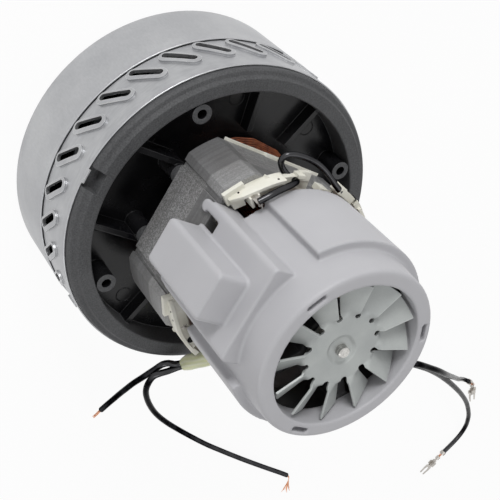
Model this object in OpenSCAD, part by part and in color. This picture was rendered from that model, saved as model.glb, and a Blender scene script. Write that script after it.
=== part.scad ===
// Vacuum cleaner motor: a two-stage fan in a louvred steel housing, a universal
// motor on a moulded bracket above it, and a cooling fan under a moulded cover.
// Z is the shaft axis. The unit stands on its inlet face with the cooling fan on top.

/* [Fan housing] */
// Outer radius of the drawn steel cup
cup_r = 72; // [70:0.5:78]
// Height of the cup from the inlet face to its cut edge
cup_h = 34; // [31:0.5:35]
// Thickness of the sheet steel
sheet_t = 0.7; // [0.5:0.1:1]
// Radius of the pressed corner round the inlet face
cup_corner_r = 4; // [2:0.5:6]
// Radius of the air inlet
eye_r = 23; // [20:0.5:25]
// Depth of the collar turned in round the air inlet
eye_collar_h = 3; // [1.5:0.25:3]
// Number of exhaust louvres round the band
louvre_count = 30; // [20:1:32]
// Length of one louvre slot, end to end
slot_len = 15.3; // [10:0.1:16]
// Width of one louvre slot
slot_w = 3.3; // [2:0.1:4]
// Lean of the slots away from the shaft direction
slot_lean = 42.6; // [20:0.5:60]
// Height of the slot centres above the cup's cut edge
slot_rise = 8.6; // [8:0.1:9]
// Width of the pressed border round a slot
louvre_lip = 1.5; // [0.8:0.1:2]
// How far a louvre stands out of the band
louvre_out = 0.9; // [0.4:0.1:1.5]

/* [Fan stages] */
// Outer radius of an impeller
impeller_r = 62; // [55:0.5:64]
// Height of an impeller over both plates
impeller_h = 11; // [8:0.5:13]
// Thickness of an impeller plate and vane
impeller_t = 1; // [0.6:0.1:1.5]
// Number of vanes on an impeller
vane_count = 7; // [5:1:9]
// Radius of the inlet in an impeller's lower plate
impeller_eye_r = 21; // [18:0.5:22]
// Height of the first impeller above the inlet face
stage1_z = 7; // [6:0.25:8]
// Gap between an impeller and the plates on either side of it
stage_gap = 1.5; // [1:0.1:3]
// Height of the guide between the stages
guide_h = 7.5; // [6:0.25:10]
// Number of return vanes in the guide
guide_vane_count = 10; // [6:1:12]
// Clear height over the second impeller
plenum_h = 9.5; // [7:0.5:12]

/* [End bracket] */
// Thickness of the bracket's floor
floor_t = 2.5; // [2:0.1:4]
// Depth of the recess between the rim and the floor
recess_h = 12.5; // [10:0.5:15]
// Width of the rim, from its outer to its inner wall
rim_w = 9; // [8.5:0.25:10]
// How far the rim stands above the steel band
rim_stand = 5.5; // [4:0.5:7]
// Width of the stepped chamfer on the rim's outer edge
rim_step = 3; // [2:0.25:4]
// Distance of a screw boss's middle in from the rim's inner wall
boss_in = 4.5; // [4.5:0.25:6]
// Outer radius of a screw boss
boss_r = 4.2; // [3.5:0.1:4.4]
// Radius of the hole in a screw boss
boss_hole_r = 2.1; // [1.5:0.1:2.5]
// Width of the key notch in the rim
key_w = 9; // [6:0.5:12]
// Depth of the key notch in from the rim's outer edge
key_d = 5; // [3:0.25:6]
// Thickness of the stiffening ribs
rib_t = 2.4; // [1.5:0.1:3]
// Outer radius of the lower bearing's housing
hub_r = 15.5; // [14:0.25:17]

/* [Bearings and shaft] */
// Radius of the shaft through the lower bearing
shaft_r = 4; // [3.5:0.25:4.5]
// Radius of the shaft in the upper bearing
shaft_top_r = 3.5; // [3:0.25:3.5]
// Radius of the stub at the shaft's upper end
stub_r = 2.4; // [1.5:0.1:2.6]
// Outer radius of the bearings
bearing_r = 11; // [10:0.5:12]
// Height of the bearings
bearing_h = 7; // [6:0.5:8]
// Radial running clearance between the shaft and the bearings
shaft_clear = 0.03; // [0.02:0.01:0.05]
// Height of the shaft's lower end above the inlet face
shaft_low_z = 3.3; // [3.1:0.1:3.8]
// How far the shaft stands out of the cooling fan
shaft_over_fan = 2; // [1:0.25:3.5]

/* [Stator and armature] */
// Gap between the bracket's rim and the stator's lower face, along the shaft
stator_lift = 2.5; // [2:0.25:5]
// Height of the laminated stack
stack_h = 31; // [27:0.5:35]
// Radius of the stack's rounded corners, from the shaft
core_r = 46.5; // [45:0.25:48]
// Half width of the stack across the brush sides
core_y = 39.2; // [38.5:0.1:40]
// Half width of the stack across the coil sides
core_x = 35; // [34:0.25:36]
// Radius of the stator's bore
bore_r = 22; // [20:0.25:23]
// Air gap between the armature and the stator
air_gap = 0.6; // [0.4:0.05:1]
// Thickness of the pole shoes
shoe_t = 3.6; // [3:0.1:4]
// Half angle that a pole shoe spans
shoe_a = 57; // [50:1:60]
// Half width of a pole's neck
neck_y = 12.5; // [10:0.5:13]
// Half width of the window in the stack, across the coil sides
window_x = 29.6; // [29.4:0.1:30]
// Half width of the window in the stack, across the brush sides
window_y = 31.4; // [30:0.2:31.6]
// Number of slots in the armature core
armature_slots = 12; // [8:1:24]
// Radius of the commutator
commutator_r = 13; // [11:0.25:14]
// Height of the commutator's brush track
commutator_h = 20; // [16:0.5:20]
// Number of commutator bars
commutator_bars = 24; // [12:2:32]
// Half width across the clamp screws, coil sides
screw_x = 14.5; // [13.5:0.25:14.7]
// Radius of the clamp screws
screw_r = 2; // [1.5:0.25:2.25]
// Radius of the clamp screws' heads
screw_head_r = 2.8; // [2.5:0.1:2.9]

/* [Field coils] */
// Radius of the coil wire as drawn
coil_wire_r = 0.8; // [0.5:0.05:0.85]
// Gap between neighbouring turns
coil_gap = 0.5; // [0.45:0.05:0.6]
// Turns in each of a coil's two layers
coil_turns = 5; // [3:1:5]
// Thickness of a coil former's flanges
flange_t = 1.8; // [1.2:0.1:2]
// Height of the curved wall on the cover's side of a former
former_wall_h = 5; // [3:0.25:6]
// How far that wall stands beyond the cover's barrel
former_out = 6.5; // [6:0.1:7]

/* [Motor cover] */
// Radius of the cover's round barrel
barrel_r = 37.7; // [37:0.1:38.5]
// Wall of the cover
cover_t = 1.9; // [1.5:0.1:2.2]
// How far the cover bulges beyond its barrel over the coil ends
bulge_out = 3.5; // [3.1:0.1:4.3]
// Half angle of the cover's bulge over a coil
bulge_a = 44; // [38:1:44]
// Half width of the flat brush side
front_x = 19.6; // [19.5:0.1:20.5]
// Height from the stator to the shoulder at the barrel
shoulder_rise = 46.6; // [44:0.2:50]
// Height of the barrel above the shoulder
barrel_h = 13.2; // [12:0.2:16]
// Height of the cover's lower edge above the stator, beside the brush sides
cover_edge_rise = 8.5; // [8:0.25:12]
// Half width of the box over a brush holder
leg_x = 9.8; // [9.5:0.1:10.2]
// Offset of that box to one side of the shaft
leg_shift = 0.8; // [0:0.1:1]
// Radius of the rounded edges on the cover's boxes
cover_edge_r = 2; // [1:0.25:2.5]
// How far the box over a brush holder stands out of its flat
leg_out = 13.3; // [11:0.1:15]
// Height of the box over a brush holder
leg_h = 40; // [38:0.5:42]
// Radius of the cooling air inlet
mouth_r = 30.7; // [30:0.1:32]
// Outer radius of the cover's end face
end_r = 37; // [36:0.1:37.5]
// Number of slots in the end face
end_slot_count = 3; // [2:1:6]

/* [Brush gear] */
// Width of a carbon brush along the commutator
brush_h = 11; // [8:0.5:12]
// Thickness of a carbon brush
brush_w = 6.3; // [5:0.1:7]
// Length of a new carbon brush
brush_len = 24; // [18:0.5:25]
// Clearance between a brush and its tube
brush_clear = 0.15; // [0.1:0.05:0.25]
// Wall of a brush tube
tube_t = 0.8; // [0.5:0.1:1]
// Height of the brushes above the stator
brush_rise = 19; // [18.5:0.25:20]
// How far a brush can be pushed back from the commutator
brush_travel = 1.5; // [1:0.1:2]
// Coils in a brush spring
spring_turns = 6; // [4:1:8]
// Wire radius of a brush spring
spring_wire_r = 0.35; // [0.25:0.05:0.4]

/* [Cooling fan] */
// Tip radius of the cooling fan
fan_r = 29.5; // [28:0.1:29.6]
// Radius of the fan's flat hub
fan_hub_r = 14.4; // [13:0.2:15]
// Thickness of the fan's sheet
fan_t = 1; // [0.8:0.1:1.2]
// Number of fan blades
blade_count = 12; // [8:1:14]
// Pitch of the blades
blade_pitch = 38; // [20:1:40]
// Width of a blade at its tip
blade_tip_w = 12; // [8:0.25:12.5]
// Width of a blade at its root
blade_root_w = 6; // [4:0.25:6.4]
// Depth of the fan's hub below the cover's end face
fan_depth = 4.3; // [4.1:0.1:6]
// Radius of the circle through the round holes at the blade roots
keyhole_pitch_r = 15.45; // [15:0.05:16]
// Radius of the round holes at the blade roots
keyhole_r = 1.3; // [0.8:0.1:1.5]
// Turn of the first root hole from the X axis
fan_turn = 11.5; // [0:0.5:30]

/* [Leads] */
// Outer radius of a lead
lead_r = 1.5; // [1.2:0.1:1.5]
// Outer radius of the yellow sleeve
sleeve_r = 4.1; // [3.8:0.1:4.5]
// Length of bare copper at a stripped end
bare_len = 14; // [4:0.5:15]
// Thickness of the terminals' sheet
terminal_t = 0.8; // [0.5:0.1:1]

/* [Hidden] */
$fn = 96;

nest_gap = 0.05;
cut = 1;
cup_in_r = cup_r - sheet_t;
band_r = cup_in_r - nest_gap;
band_in_r = band_r - sheet_t;
rim_r = band_in_r - nest_gap;
rim_in_r = rim_r - rim_w;
boss_pitch_r = rim_in_r - boss_in;
bulge_r = barrel_r + bulge_out;

// Heights of the fan stages, one on the other
stage1_top = stage1_z + impeller_h;
guide_z = stage1_top + stage_gap;
guide_top = guide_z + guide_h;
stage2_z = guide_top + stage_gap + 0.5;
stage2_top = stage2_z + impeller_h;
floor_z = stage2_top + plenum_h;
floor_top = floor_z + floor_t;
rim_top = floor_top + recess_h;
band_top = rim_top - rim_stand;
band_z = guide_top;
slot_z = cup_h + slot_rise;
boss_top = rim_top - 0.5;

// Heights of the motor
core_z = rim_top + stator_lift;
core_top = core_z + stack_h;
shoulder_z = core_top + shoulder_rise;
end_z = shoulder_z + barrel_h;
fan_z = end_z - fan_depth;
shaft_top_z = fan_z + shaft_over_fan;
brush_z = core_top + brush_rise;
commutator_z = brush_z - commutator_h / 2;
low_bearing_z = floor_top - 1;
high_bearing_z = shoulder_z - bearing_h - 1;
armature_r = bore_r - air_gap;
winding_low_z = core_z - 6.2;
winding_high_z = core_top + 6.2;
hub_top = low_bearing_z + bearing_h + 1.2;
front_y = core_y + 0.2 + cover_t + 0.1;
leg_y = front_y + leg_out;
leg_z = core_top - 0.9;
screw_y = (core_y + window_y) / 2;
post_r = screw_r + 2.1;
edge_z = core_top + cover_edge_rise;

// Rounded slot: a bar of the given length and width with round ends
module obround(len, wid) {
    square([len - wid, wid], center = true);
    for (s = [-1, 1])
        translate([s * (len - wid) / 2, 0])
            circle(r = wid / 2, $fn = 32);
}

// Ring between two heights
module ring(r_out, r_in, z0, z1) {
    translate([0, 0, z0])
        difference() {
            cylinder(r = r_out, h = z1 - z0);
            translate([0, 0, -cut])
                cylinder(r = r_in, h = z1 - z0 + 2 * cut);
        }
}

// Slot or pad that stands on the band, between two radii
module radial_bar(len, wid, r0, r1, along = 0, across = 0) {
    translate([r0, 0, slot_z])
        rotate([0, 90, 0])
            rotate([0, 0, slot_lean])
                translate([along, across, 0])
                    linear_extrude(r1 - r0)
                        obround(len, wid);
}

module fan_shell() {
    color([0.67, 0.68, 0.69])
        difference() {
            rotate_extrude($fn = 180)
                difference() {
                    union() {
                        translate([eye_r, 0])
                            square([cup_r - cup_corner_r - eye_r, cup_corner_r]);
                        translate([eye_r, cup_corner_r - cut])
                            square([cup_r - eye_r, cup_h - cup_corner_r + cut]);
                        translate([cup_r - cup_corner_r, cup_corner_r])
                            circle(r = cup_corner_r, $fn = 48);
                    }
                    translate([eye_r + sheet_t, sheet_t])
                        square([cup_in_r - cup_corner_r - eye_r - sheet_t, cup_corner_r]);
                    translate([eye_r + sheet_t, cup_corner_r])
                        square([cup_in_r - eye_r - sheet_t, cup_h]);
                    translate([cup_in_r - cup_corner_r + sheet_t, cup_corner_r])
                        circle(r = cup_corner_r - sheet_t, $fn = 48);
                    translate([eye_r - cut, eye_collar_h])
                        square([sheet_t + 2 * cut, cup_h]);
                }
        }
}

module louvre_band() {
    color([0.72, 0.73, 0.74]) {
        difference() {
            union() {
                ring(band_r, band_in_r, band_z, band_top);
                intersection() {
                    ring(band_r + louvre_out, band_in_r, cup_h + 0.3, band_top - 0.6);
                    for (i = [0 : louvre_count - 1])
                        rotate([0, 0, 270 + i * 360 / louvre_count])
                            radial_bar(slot_len + 2 * louvre_lip, slot_w + 2 * louvre_lip,
                                band_r - sheet_t - cut, band_r + louvre_out + cut, -0.4, 0.6);
                }
            }
            for (i = [0 : louvre_count - 1])
                rotate([0, 0, 270 + i * 360 / louvre_count])
                    radial_bar(slot_len, slot_w, band_in_r - 2 * cut, band_r + 3 * cut);
        }
        // Tab bent over the rim in the key notch
        intersection() {
            ring(band_r, band_in_r, band_top - cut, band_top + 1.6);
            translate([-key_w / 2 + 1.5, -band_r - cut, band_top - cut])
                cube([key_w - 3, 10, 5]);
        }
    }
}

// Curved vane between two radii, standing on the plane z = 0
module vane(r0, r1, bend, h) {
    intersection() {
        ring(r1, r0, 0, h);
        translate([bend / 2, bend * 0.8, 0])
            ring(bend, bend - impeller_t, -cut, h + cut);
        translate([0, -r1, -cut])
            cube([r1, r1 * 2, h + 2 * cut]);
    }
}

module impeller(z) {
    translate([0, 0, z])
        difference() {
            union() {
                ring(impeller_r, impeller_eye_r, 0, impeller_t);
                translate([0, 0, impeller_h - impeller_t])
                    cylinder(r = impeller_r, h = impeller_t);
                translate([0, 0, 1])
                    cylinder(r = shaft_r + 3.5, h = impeller_h - 1);
                for (i = [0 : vane_count - 1])
                    rotate([0, 0, i * 360 / vane_count])
                        translate([0, 0, impeller_t - 0.1])
                            vane(impeller_eye_r + 1.5, impeller_r - 0.5, impeller_r * 0.62,
                                impeller_h - 2 * impeller_t + 0.2);
            }
            translate([0, 0, -cut])
                cylinder(r = shaft_r, h = impeller_h + 2 * cut);
        }
}

module impeller_lower() {
    color([0.75, 0.76, 0.77])
        impeller(stage1_z);
}

module impeller_upper() {
    color([0.75, 0.76, 0.77])
        impeller(stage2_z);
}

// The guide takes the air from the first impeller's edge back in to the second one's eye
module interstage_guide() {
    turn_gap = 5;
    color([0.3, 0.3, 0.31])
        translate([0, 0, guide_z]) {
            ring(cup_in_r - turn_gap, shaft_r + 7, 0, impeller_t);
            ring(cup_in_r - nest_gap, impeller_eye_r - 1, guide_h - impeller_t, guide_h);
            for (i = [0 : guide_vane_count - 1])
                rotate([0, 0, i * 360 / guide_vane_count])
                    mirror([0, 1, 0])
                        translate([0, 0, impeller_t - 0.1])
                            vane(impeller_eye_r + 4, cup_in_r - turn_gap - 1, impeller_r * 0.62,
                                guide_h - 2 * impeller_t + 0.2);
        }
}

module rim_profile() {
    translate([0, floor_z])
        polygon([
            [rim_in_r, 0],
            [rim_r, 0],
            [rim_r, rim_top - floor_z - 3.2],
            [rim_r - 0.8, rim_top - floor_z - 2.2],
            [rim_r - rim_step + 0.6, rim_top - floor_z - 1.8],
            [rim_r - rim_step - 0.4, rim_top - floor_z],
            [rim_in_r + 0.4, rim_top - floor_z],
            [rim_in_r, rim_top - floor_z - 0.4]
        ]);
}

module end_bracket() {
    rib_x = screw_x + post_r - rib_t / 2 + 0.6;
    rib_in_r = 41;
    color([0.13, 0.13, 0.14])
        difference() {
            union() {
                rotate_extrude($fn = 180)
                    rim_profile();
                ring(rim_in_r + cut, shaft_r + 3, floor_z, floor_top);
                translate([0, 0, floor_z])
                    cylinder(r = hub_r, h = hub_top - floor_z);
                // Screw bosses
                for (i = [0 : 3])
                    rotate([0, 0, 45 + 90 * i])
                        translate([boss_pitch_r, 0, floor_z])
                            cylinder(r = boss_r, h = boss_top - floor_z, $fn = 40);
                // Posts that carry the stator, with a rib from each to the rim
                for (sx = [-1, 1], sy = [-1, 1]) {
                    translate([sx * screw_x, sy * screw_y, floor_z])
                        cylinder(r = post_r, h = core_z - floor_z, $fn = 40);
                    intersection() {
                        cylinder(r = rim_in_r + cut, h = boss_top);
                        translate([sx * rib_x - rib_t / 2, sy > 0 ? screw_y : -rim_in_r - cut, floor_z])
                            cube([rib_t, rim_in_r + cut - screw_y, boss_top - 1.5 - floor_z]);
                    }
                }
                // Ribs in from the rim, in pairs on the coil sides
                for (side = [0, 180], a = [-15, 15])
                    rotate([0, 0, side + a])
                        translate([rib_in_r, -rib_t / 2, floor_z])
                            cube([rim_in_r + cut - rib_in_r, rib_t, floor_t + 6]);
            }
            // Seat of the lower bearing and the shaft's way through
            translate([0, 0, low_bearing_z])
                cylinder(r = bearing_r + 0.02, h = hub_top);
            translate([0, 0, floor_z - cut])
                cylinder(r = shaft_r + 3, h = 10);
            for (i = [0 : 3])
                rotate([0, 0, 45 + 90 * i])
                    translate([boss_pitch_r, 0, floor_z - cut])
                        cylinder(r = boss_hole_r, h = boss_top, $fn = 40);
            for (sx = [-1, 1], sy = [-1, 1])
                translate([sx * screw_x, sy * screw_y, core_z - 12])
                    cylinder(r = screw_r, h = 20, $fn = 32);
            // Key notch
            translate([-key_w / 2, -rim_r - cut, band_top - 0.8])
                cube([key_w, key_d + cut, 20]);
        }
}

// Ball bearing: two rings, their seals and the grooves between them
module bearing(z, bore) {
    translate([0, 0, z])
        rotate_extrude()
            difference() {
                translate([bore, 0])
                    square([bearing_r - bore, bearing_h]);
                for (y = [0, bearing_h])
                    translate([(bearing_r + bore) / 2, y])
                        square([(bearing_r - bore) * 0.45, 0.5], center = true);
            }
}

module lower_bearing() {
    color([0.6, 0.61, 0.63])
        bearing(low_bearing_z, shaft_r + shaft_clear);
}

module upper_bearing() {
    color([0.6, 0.61, 0.63])
        bearing(high_bearing_z, shaft_top_r + shaft_clear);
}

module wave_washer() {
    color([0.5, 0.5, 0.52])
        ring(bearing_r - 0.3, bearing_r - 3, high_bearing_z + bearing_h, high_bearing_z + bearing_h + 0.5);
}

// Outline of one lamination
module core_outline(grow = 0) {
    intersection() {
        circle(r = core_r, $fn = 128);
        square([2 * (core_x + grow), 2 * core_y], center = true);
    }
}

// Space inside the yoke, less the two poles
module core_window() {
    difference() {
        intersection() {
            square([2 * window_x, 2 * window_y], center = true);
            circle(r = window_x + 6.5);
        }
        difference() {
            union() {
                square([2 * window_x + 2, 2 * neck_y], center = true);
                intersection() {
                    circle(r = bore_r + shoe_t);
                    union()
                        for (s = [-1, 1])
                            polygon([
                                [0, 0],
                                [s * 50 * cos(shoe_a), -50 * sin(shoe_a)],
                                [s * 50, -50 * sin(shoe_a)],
                                [s * 50, 50 * sin(shoe_a)],
                                [s * 50 * cos(shoe_a), 50 * sin(shoe_a)]
                            ]);
                }
            }
            circle(r = bore_r);
        }
    }
    circle(r = bore_r);
}

module core_section(grow = 0) {
    groove_x = core_x - 14.5;
    difference() {
        core_outline(grow);
        core_window();
        for (sx = [-1, 1], sy = [-1, 1])
            translate([sx * groove_x, sy * core_y])
                polygon([[-1.2, 1], [-1.2, -0.3], [0, -1.5], [1.2, -0.3], [1.2, 1]]);
        for (sx = [-1, 1], sy = [-1, 1])
            translate([sx * screw_x, sy * screw_y])
                circle(r = screw_r + 0.2, $fn = 32);
    }
}

module stator_core() {
    color([0.55, 0.56, 0.57])
        translate([0, 0, core_z])
            linear_extrude(stack_h)
                core_section();
}

module clamp_screws() {
    head_h = 2.6;
    color([0.75, 0.75, 0.72])
        for (sx = [-1, 1], sy = [-1, 1])
            translate([sx * screw_x, sy * screw_y, 0])
                difference() {
                    union() {
                        translate([0, 0, core_z - 10])
                            cylinder(r = screw_r - 0.02, h = stack_h + 11, $fn = 32);
                        translate([0, 0, core_top])
                            cylinder(r = screw_head_r, h = head_h, $fn = 32);
                    }
                    translate([-screw_head_r, -0.4, core_top + head_h - 1])
                        cube([2 * screw_head_r, 0.8, 2]);
                }
}

pocket_w = 9;
pocket_h = 12.5;

// Former of one coil, on the -X side: a flange on each face of the stack, a curved
// wall on the cover's side, a terminal pocket at each end of that wall and blocks between
module bobbin(blocks) {
    keep_x = screw_x - 5;
    wall_out_r = barrel_r + former_out;
    pocket_a = 234.5;
    root = 1;
    module flange(z, tall, wide) {
        translate([0, 0, z])
            linear_extrude(tall)
                intersection() {
                    core_section(wide);
                    translate([-60 - keep_x, -27])
                        square([60, 54]);
                }
    }
    flange(core_z - flange_t, flange_t, 1.2);
    // Locating tab that stands up beside the stack
    translate([-core_x - 1.3, -5, core_z - flange_t / 2])
        cube([1.3, 10, flange_t / 2 + 1.5]);
    difference() {
        union() {
            flange(core_top - root, flange_t + root, 1.2);
            for (s = [-1, 1])
                scale([1, s, 1])
                    former_wall(wall_out_r, core_top - 2 * root);
            // Feet that carry the wall and the blocks on the flange
            for (a = concat([209, 151], blocks))
                rotate([0, 0, a])
                    translate([core_x - 4, -3, core_top - 3 * root])
                        cube([wall_out_r - core_x + 3, 6, flange_t + 3 * root - 0.2]);
            for (a = blocks)
                rotate([0, 0, a])
                    translate([wall_out_r - 3.6, -2.9, core_top - 4 * root])
                        cube([4.1, 5.8, 7 + 4 * root]);
            for (s = [-1, 1])
                scale([1, s, 1])
                    rotate([0, 0, pocket_a])
                        translate([wall_out_r - 3.4, -pocket_w / 2, core_top])
                            terminal_pocket(5 * root);
        }
        // One level underside, on the stack
        translate([-100, -100, core_top - 10])
            cube([200, 200, 10]);
    }
}

module former_wall(out_r, z0) {
    top_z = core_top + former_wall_h;
    intersection() {
        difference() {
            ring(out_r, out_r - 1.6, z0, top_z + 1.4);
            translate([-80, -80, top_z])
                cube([160, 52, 10]);
        }
        rotate([0, 0, 208])
            translate([0, 0, z0 - cut])
                rotate_extrude(angle = 29, $fn = 96)
                    translate([30, 0])
                        square([20, 25]);
    }
}

module terminal_pocket(root) {
    difference() {
        translate([0, 0, -root])
            cube([5.6, pocket_w, pocket_h + root]);
        translate([1.2, 1.6, 4])
            cube([3.2, pocket_w - 3.2, pocket_h]);
        translate([2, pocket_w / 2 - 1.6, pocket_h - 4.5])
            cube([8, 3.2, 2.5]);
    }
}

module bobbin_left() {
    color([0.92, 0.92, 0.86])
        bobbin([194, 166]);
}

module bobbin_right() {
    color([0.92, 0.92, 0.86])
        rotate([0, 0, 180])
            bobbin([]);
}

// Path of a field coil. It winds out along one layer and back along the next.
coil_pitch = 2 * coil_wire_r + coil_gap;
coil_r0 = bore_r + shoe_t + 0.45 + coil_wire_r;
coil_s0 = neck_y + 1 + coil_wire_r;
coil_leg_z = stack_h / 2 + flange_t + 0.3;
coil_end_z = 0.6 + coil_wire_r + coil_pitch * 0.7;
coil_steps = 24;
coil_total = 2 * coil_turns;
function clamp01(x) = min(1, max(0, x));
function smooth(x) = clamp01(x) * clamp01(x) * (3 - 2 * clamp01(x));
function sgn_pow(x, p) = sign(x) * pow(abs(x), p);
function coil_phase(q) =
    q < 3 ? 0 : q < 12 ? (q - 3) * 20 : q < 15 ? 180 : 180 + (q - 15) * 20;
function coil_leg(q) = q < 3 ? q / 1.5 - 1 : q < 12 ? 1 : q < 15 ? 1 - (q - 12) / 1.5 : -1;
function coil_point(t) =
    let (
        q = coil_steps * (t - floor(t)),
        a = coil_phase(q),
        u = (coil_turns - abs(t - coil_turns)) * coil_pitch,
        w = smooth((t - coil_turns + 0.25) / 0.5) * coil_pitch * 1.1,
        over = pow(abs(sin(a)), 0.7),
        r = coil_r0 + w * (1 - 0.25 * over) + over * (1.8 + u * 0.66),
        arc = (coil_s0 + u) * sgn_pow(cos(a), 0.62),
        turn = arc / coil_r0 * 180 / PI,
        end_z = pow(abs(sin(a)), 0.62) * (coil_end_z + u * 0.9) - over * w * 0.45,
        leg = coil_leg(q) * (coil_leg_z - 0.4 * w),
        z = (core_z + core_top) / 2 + leg + sign(sin(a)) * end_z
    )
    [-r * cos(turn), -r * sin(turn), z];
coil_points = [for (i = [0 : coil_total * coil_steps]) coil_point(i / coil_steps)];
coil_least = min([
    for (i = [0 : 1 : len(coil_points) - 1], j = [i + 8 : 1 : len(coil_points) - 1])
        norm(coil_points[i] - coil_points[j])
]);
echo("least gap between the turns of a field coil", coil_least - 2 * coil_wire_r);

// Tube of one radius along points, with a frame carried along so that it never twists
function unit(v) = v / norm(v);
function path_dir(p, i) = unit(p[min(i + 1, len(p) - 1)] - p[max(i - 1, 0)]);
function any_side(d) = unit(cross(d, abs(d[2]) < 0.8 ? [0, 0, 1] : [1, 0, 0]));
function carry(v, d) = unit(v - (v * d) * d);
function sides(p, i = 0, v = undef, got = []) =
    i >= len(p) ? got :
    let (
        d = path_dir(p, i),
        w = i == 0 ? any_side(d) : carry(v, d)
    )
    sides(p, i + 1, w, concat(got, [w]));

module tube_along(p, r, n) {
    side = sides(p);
    pts = [
        for (i = [0 : len(p) - 1])
            let (d = path_dir(p, i), v = side[i], w = cross(d, v))
            for (k = [0 : n - 1])
                p[i] + r * (cos(k * 360 / n) * v + sin(k * 360 / n) * w)
    ];
    last = (len(p) - 1) * n;
    walls = [
        for (i = [0 : len(p) - 2], k = [0 : n - 1])
            for (f = [0, 1])
                let (a = i * n + k, b = i * n + (k + 1) % n)
                f == 0 ? [a, a + n, b] : [b, a + n, b + n]
    ];
    low_cap = [for (k = [1 : n - 2]) [0, k, k + 1]];
    high_cap = [for (k = [1 : n - 2]) [last, last + k + 1, last + k]];
    polyhedron(points = pts, faces = concat(walls, low_cap, high_cap));
}

module field_coil_left() {
    color([0.6, 0.27, 0.12])
        tube_along(coil_points, coil_wire_r, 6);
}

module field_coil_right() {
    color([0.6, 0.27, 0.12])
        rotate([0, 0, 180])
            tube_along(coil_points, coil_wire_r, 6);
}

// Block with rounded edges along X, Y and Z, from one corner
module soft_block(size, r) {
    intersection() {
        linear_extrude(size[2])
            soft_square(size[0], size[1], r);
        translate([0, size[1], 0])
            rotate([90, 0, 0])
                linear_extrude(size[1])
                    soft_square(size[0], size[2], r);
    }
}

module soft_square(a, b, r) {
    translate([r, 0])
        square([a - 2 * r, b]);
    translate([0, r])
        square([a, b - 2 * r]);
    for (x = [r, a - r], y = [r, b - r])
        translate([x, y])
            circle(r = r, $fn = 32);
}

// Half of the cover that carries one brush, on the -Y side
module brush_side_solid() {
    e = cover_edge_r;
    translate([-front_x, -front_y, core_top])
        intersection() {
            linear_extrude(shoulder_z - core_top)
                soft_square(2 * front_x, front_y + 10, e);
            translate([0, 0, -e])
                cube([2 * front_x, front_y, shoulder_z - core_top + e]);
        }
    translate([-front_x, -front_y, leg_z])
        intersection() {
            linear_extrude(core_top - leg_z + cut)
                soft_square(2 * front_x, front_y + 10, e);
            cube([2 * front_x, cover_t, core_top]);
        }
    for (s = [-1, 1])
        translate([s * (front_x - 2.4 - e / 2), -front_y, leg_z])
            rotate([-90, 0, 0])
                linear_extrude(cover_t)
                    obround_tab();
    translate([-leg_x + leg_shift, -leg_y, leg_z])
        soft_block([2 * leg_x, leg_out + 2 * e, leg_h], e);
}

module obround_tab() {
    translate([-2.4, -0.5])
        square([4.8, 3.2]);
    translate([0, 2.6])
        circle(r = 2.4, $fn = 32);
}

module brush_side_hollow() {
    inner_x = front_x - cover_t;
    translate([-inner_x, -front_y + cover_t, leg_z - cut])
        cube([2 * inner_x, front_y - cover_t, shoulder_z - leg_z - 6]);
    // Box over the brush tube
    translate([-leg_x + leg_shift + cover_t, -leg_y + cover_t, leg_z - cut])
        cube([2 * (leg_x - cover_t), leg_out + cover_t, leg_h - cover_t + cut]);
    // Notches beside the box
    for (s = [-1, 1])
        translate([s * (leg_x + 3.4) - 2.6 + leg_shift, -front_y - cut, leg_z - cut])
            cube([5.2, cover_t + 2 * cut, 9 + cut]);
}

module cover_sector(r_out, z0, z1, middle, half) {
    rotate([0, 0, middle - half])
        translate([0, 0, z0])
            rotate_extrude(angle = 2 * half, $fn = 144)
                square([r_out, z1 - z0]);
}

module motor_cover() {
    hub_wall = 2.4;
    in_r = barrel_r - cover_t;
    fan_room = blade_room + 1.4;
    color([0.71, 0.71, 0.73])
        difference() {
            union() {
                // Barrel with its rounded end face and the bulges beside it
                difference() {
                    union() {
                        rotate_extrude($fn = 144)
                            union() {
                                polygon([
                                    [0, edge_z - 2],
                                    [barrel_r, edge_z - 2],
                                    [barrel_r, shoulder_z - 0.5],
                                    [end_r, end_z - 1.5],
                                    [end_r - 1.5, end_z],
                                    [0, end_z]
                                ]);
                                translate([end_r - 1.5, end_z - 1.5])
                                    circle(r = 1.5, $fn = 32);
                            }
                        for (side = [0, 180])
                            cover_sector(bulge_r, edge_z - 1, shoulder_z, side, bulge_a);
                    }
                    // One level lower edge
                    translate([0, 0, edge_z - 10])
                        cylinder(r = bulge_r + 5, h = 10);
                }
                for (side = [0, 180])
                    rotate([0, 0, side])
                        brush_side_solid();
            }
            translate([0, 0, leg_z - cut])
                cylinder(r = in_r, h = high_bearing_z - 3 - leg_z + cut);
            // Ways out for the two leads of the back brush
            for (x = lead_exit_x)
                translate([x, leg_y - cover_t - cut, lead_exit_z])
                    rotate([-90, 0, 0])
                        cylinder(r = lead_r + 0.15, h = cover_t + 2 * cut, $fn = 32);
            for (side = [0, 180])
                cover_sector(bulge_r - cover_t, edge_z - cut, high_bearing_z - 8, side, bulge_a - 2);
            for (side = [0, 180])
                rotate([0, 0, side])
                    brush_side_hollow();
            // Air ways past the upper bearing, between four arms
            difference() {
                ring(in_r, bearing_r + hub_wall, high_bearing_z - 3 - cut, fan_z - fan_room + cut);
                for (a = [45, 135])
                    rotate([0, 0, a])
                        translate([-in_r - cut, -2.5, high_bearing_z - 5])
                            cube([2 * (in_r + cut), 5, fan_z]);
            }
            // Room for the cooling fan and the mouth in front of it
            translate([0, 0, fan_z - fan_room])
                cylinder(r = mouth_r, h = 40, $fn = 144);
            translate([0, 0, high_bearing_z])
                cylinder(r = bearing_r + 0.02, h = 40);
            translate([0, 0, high_bearing_z - 20])
                cylinder(r = shaft_top_r + 4, h = 40);
            for (i = [0 : end_slot_count - 1])
                rotate([0, 0, i * 360 / end_slot_count])
                    translate([(mouth_r + end_r) / 2 - 1, -4, end_z - 4])
                        cube([2, 8, 5]);
        }
}

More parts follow.
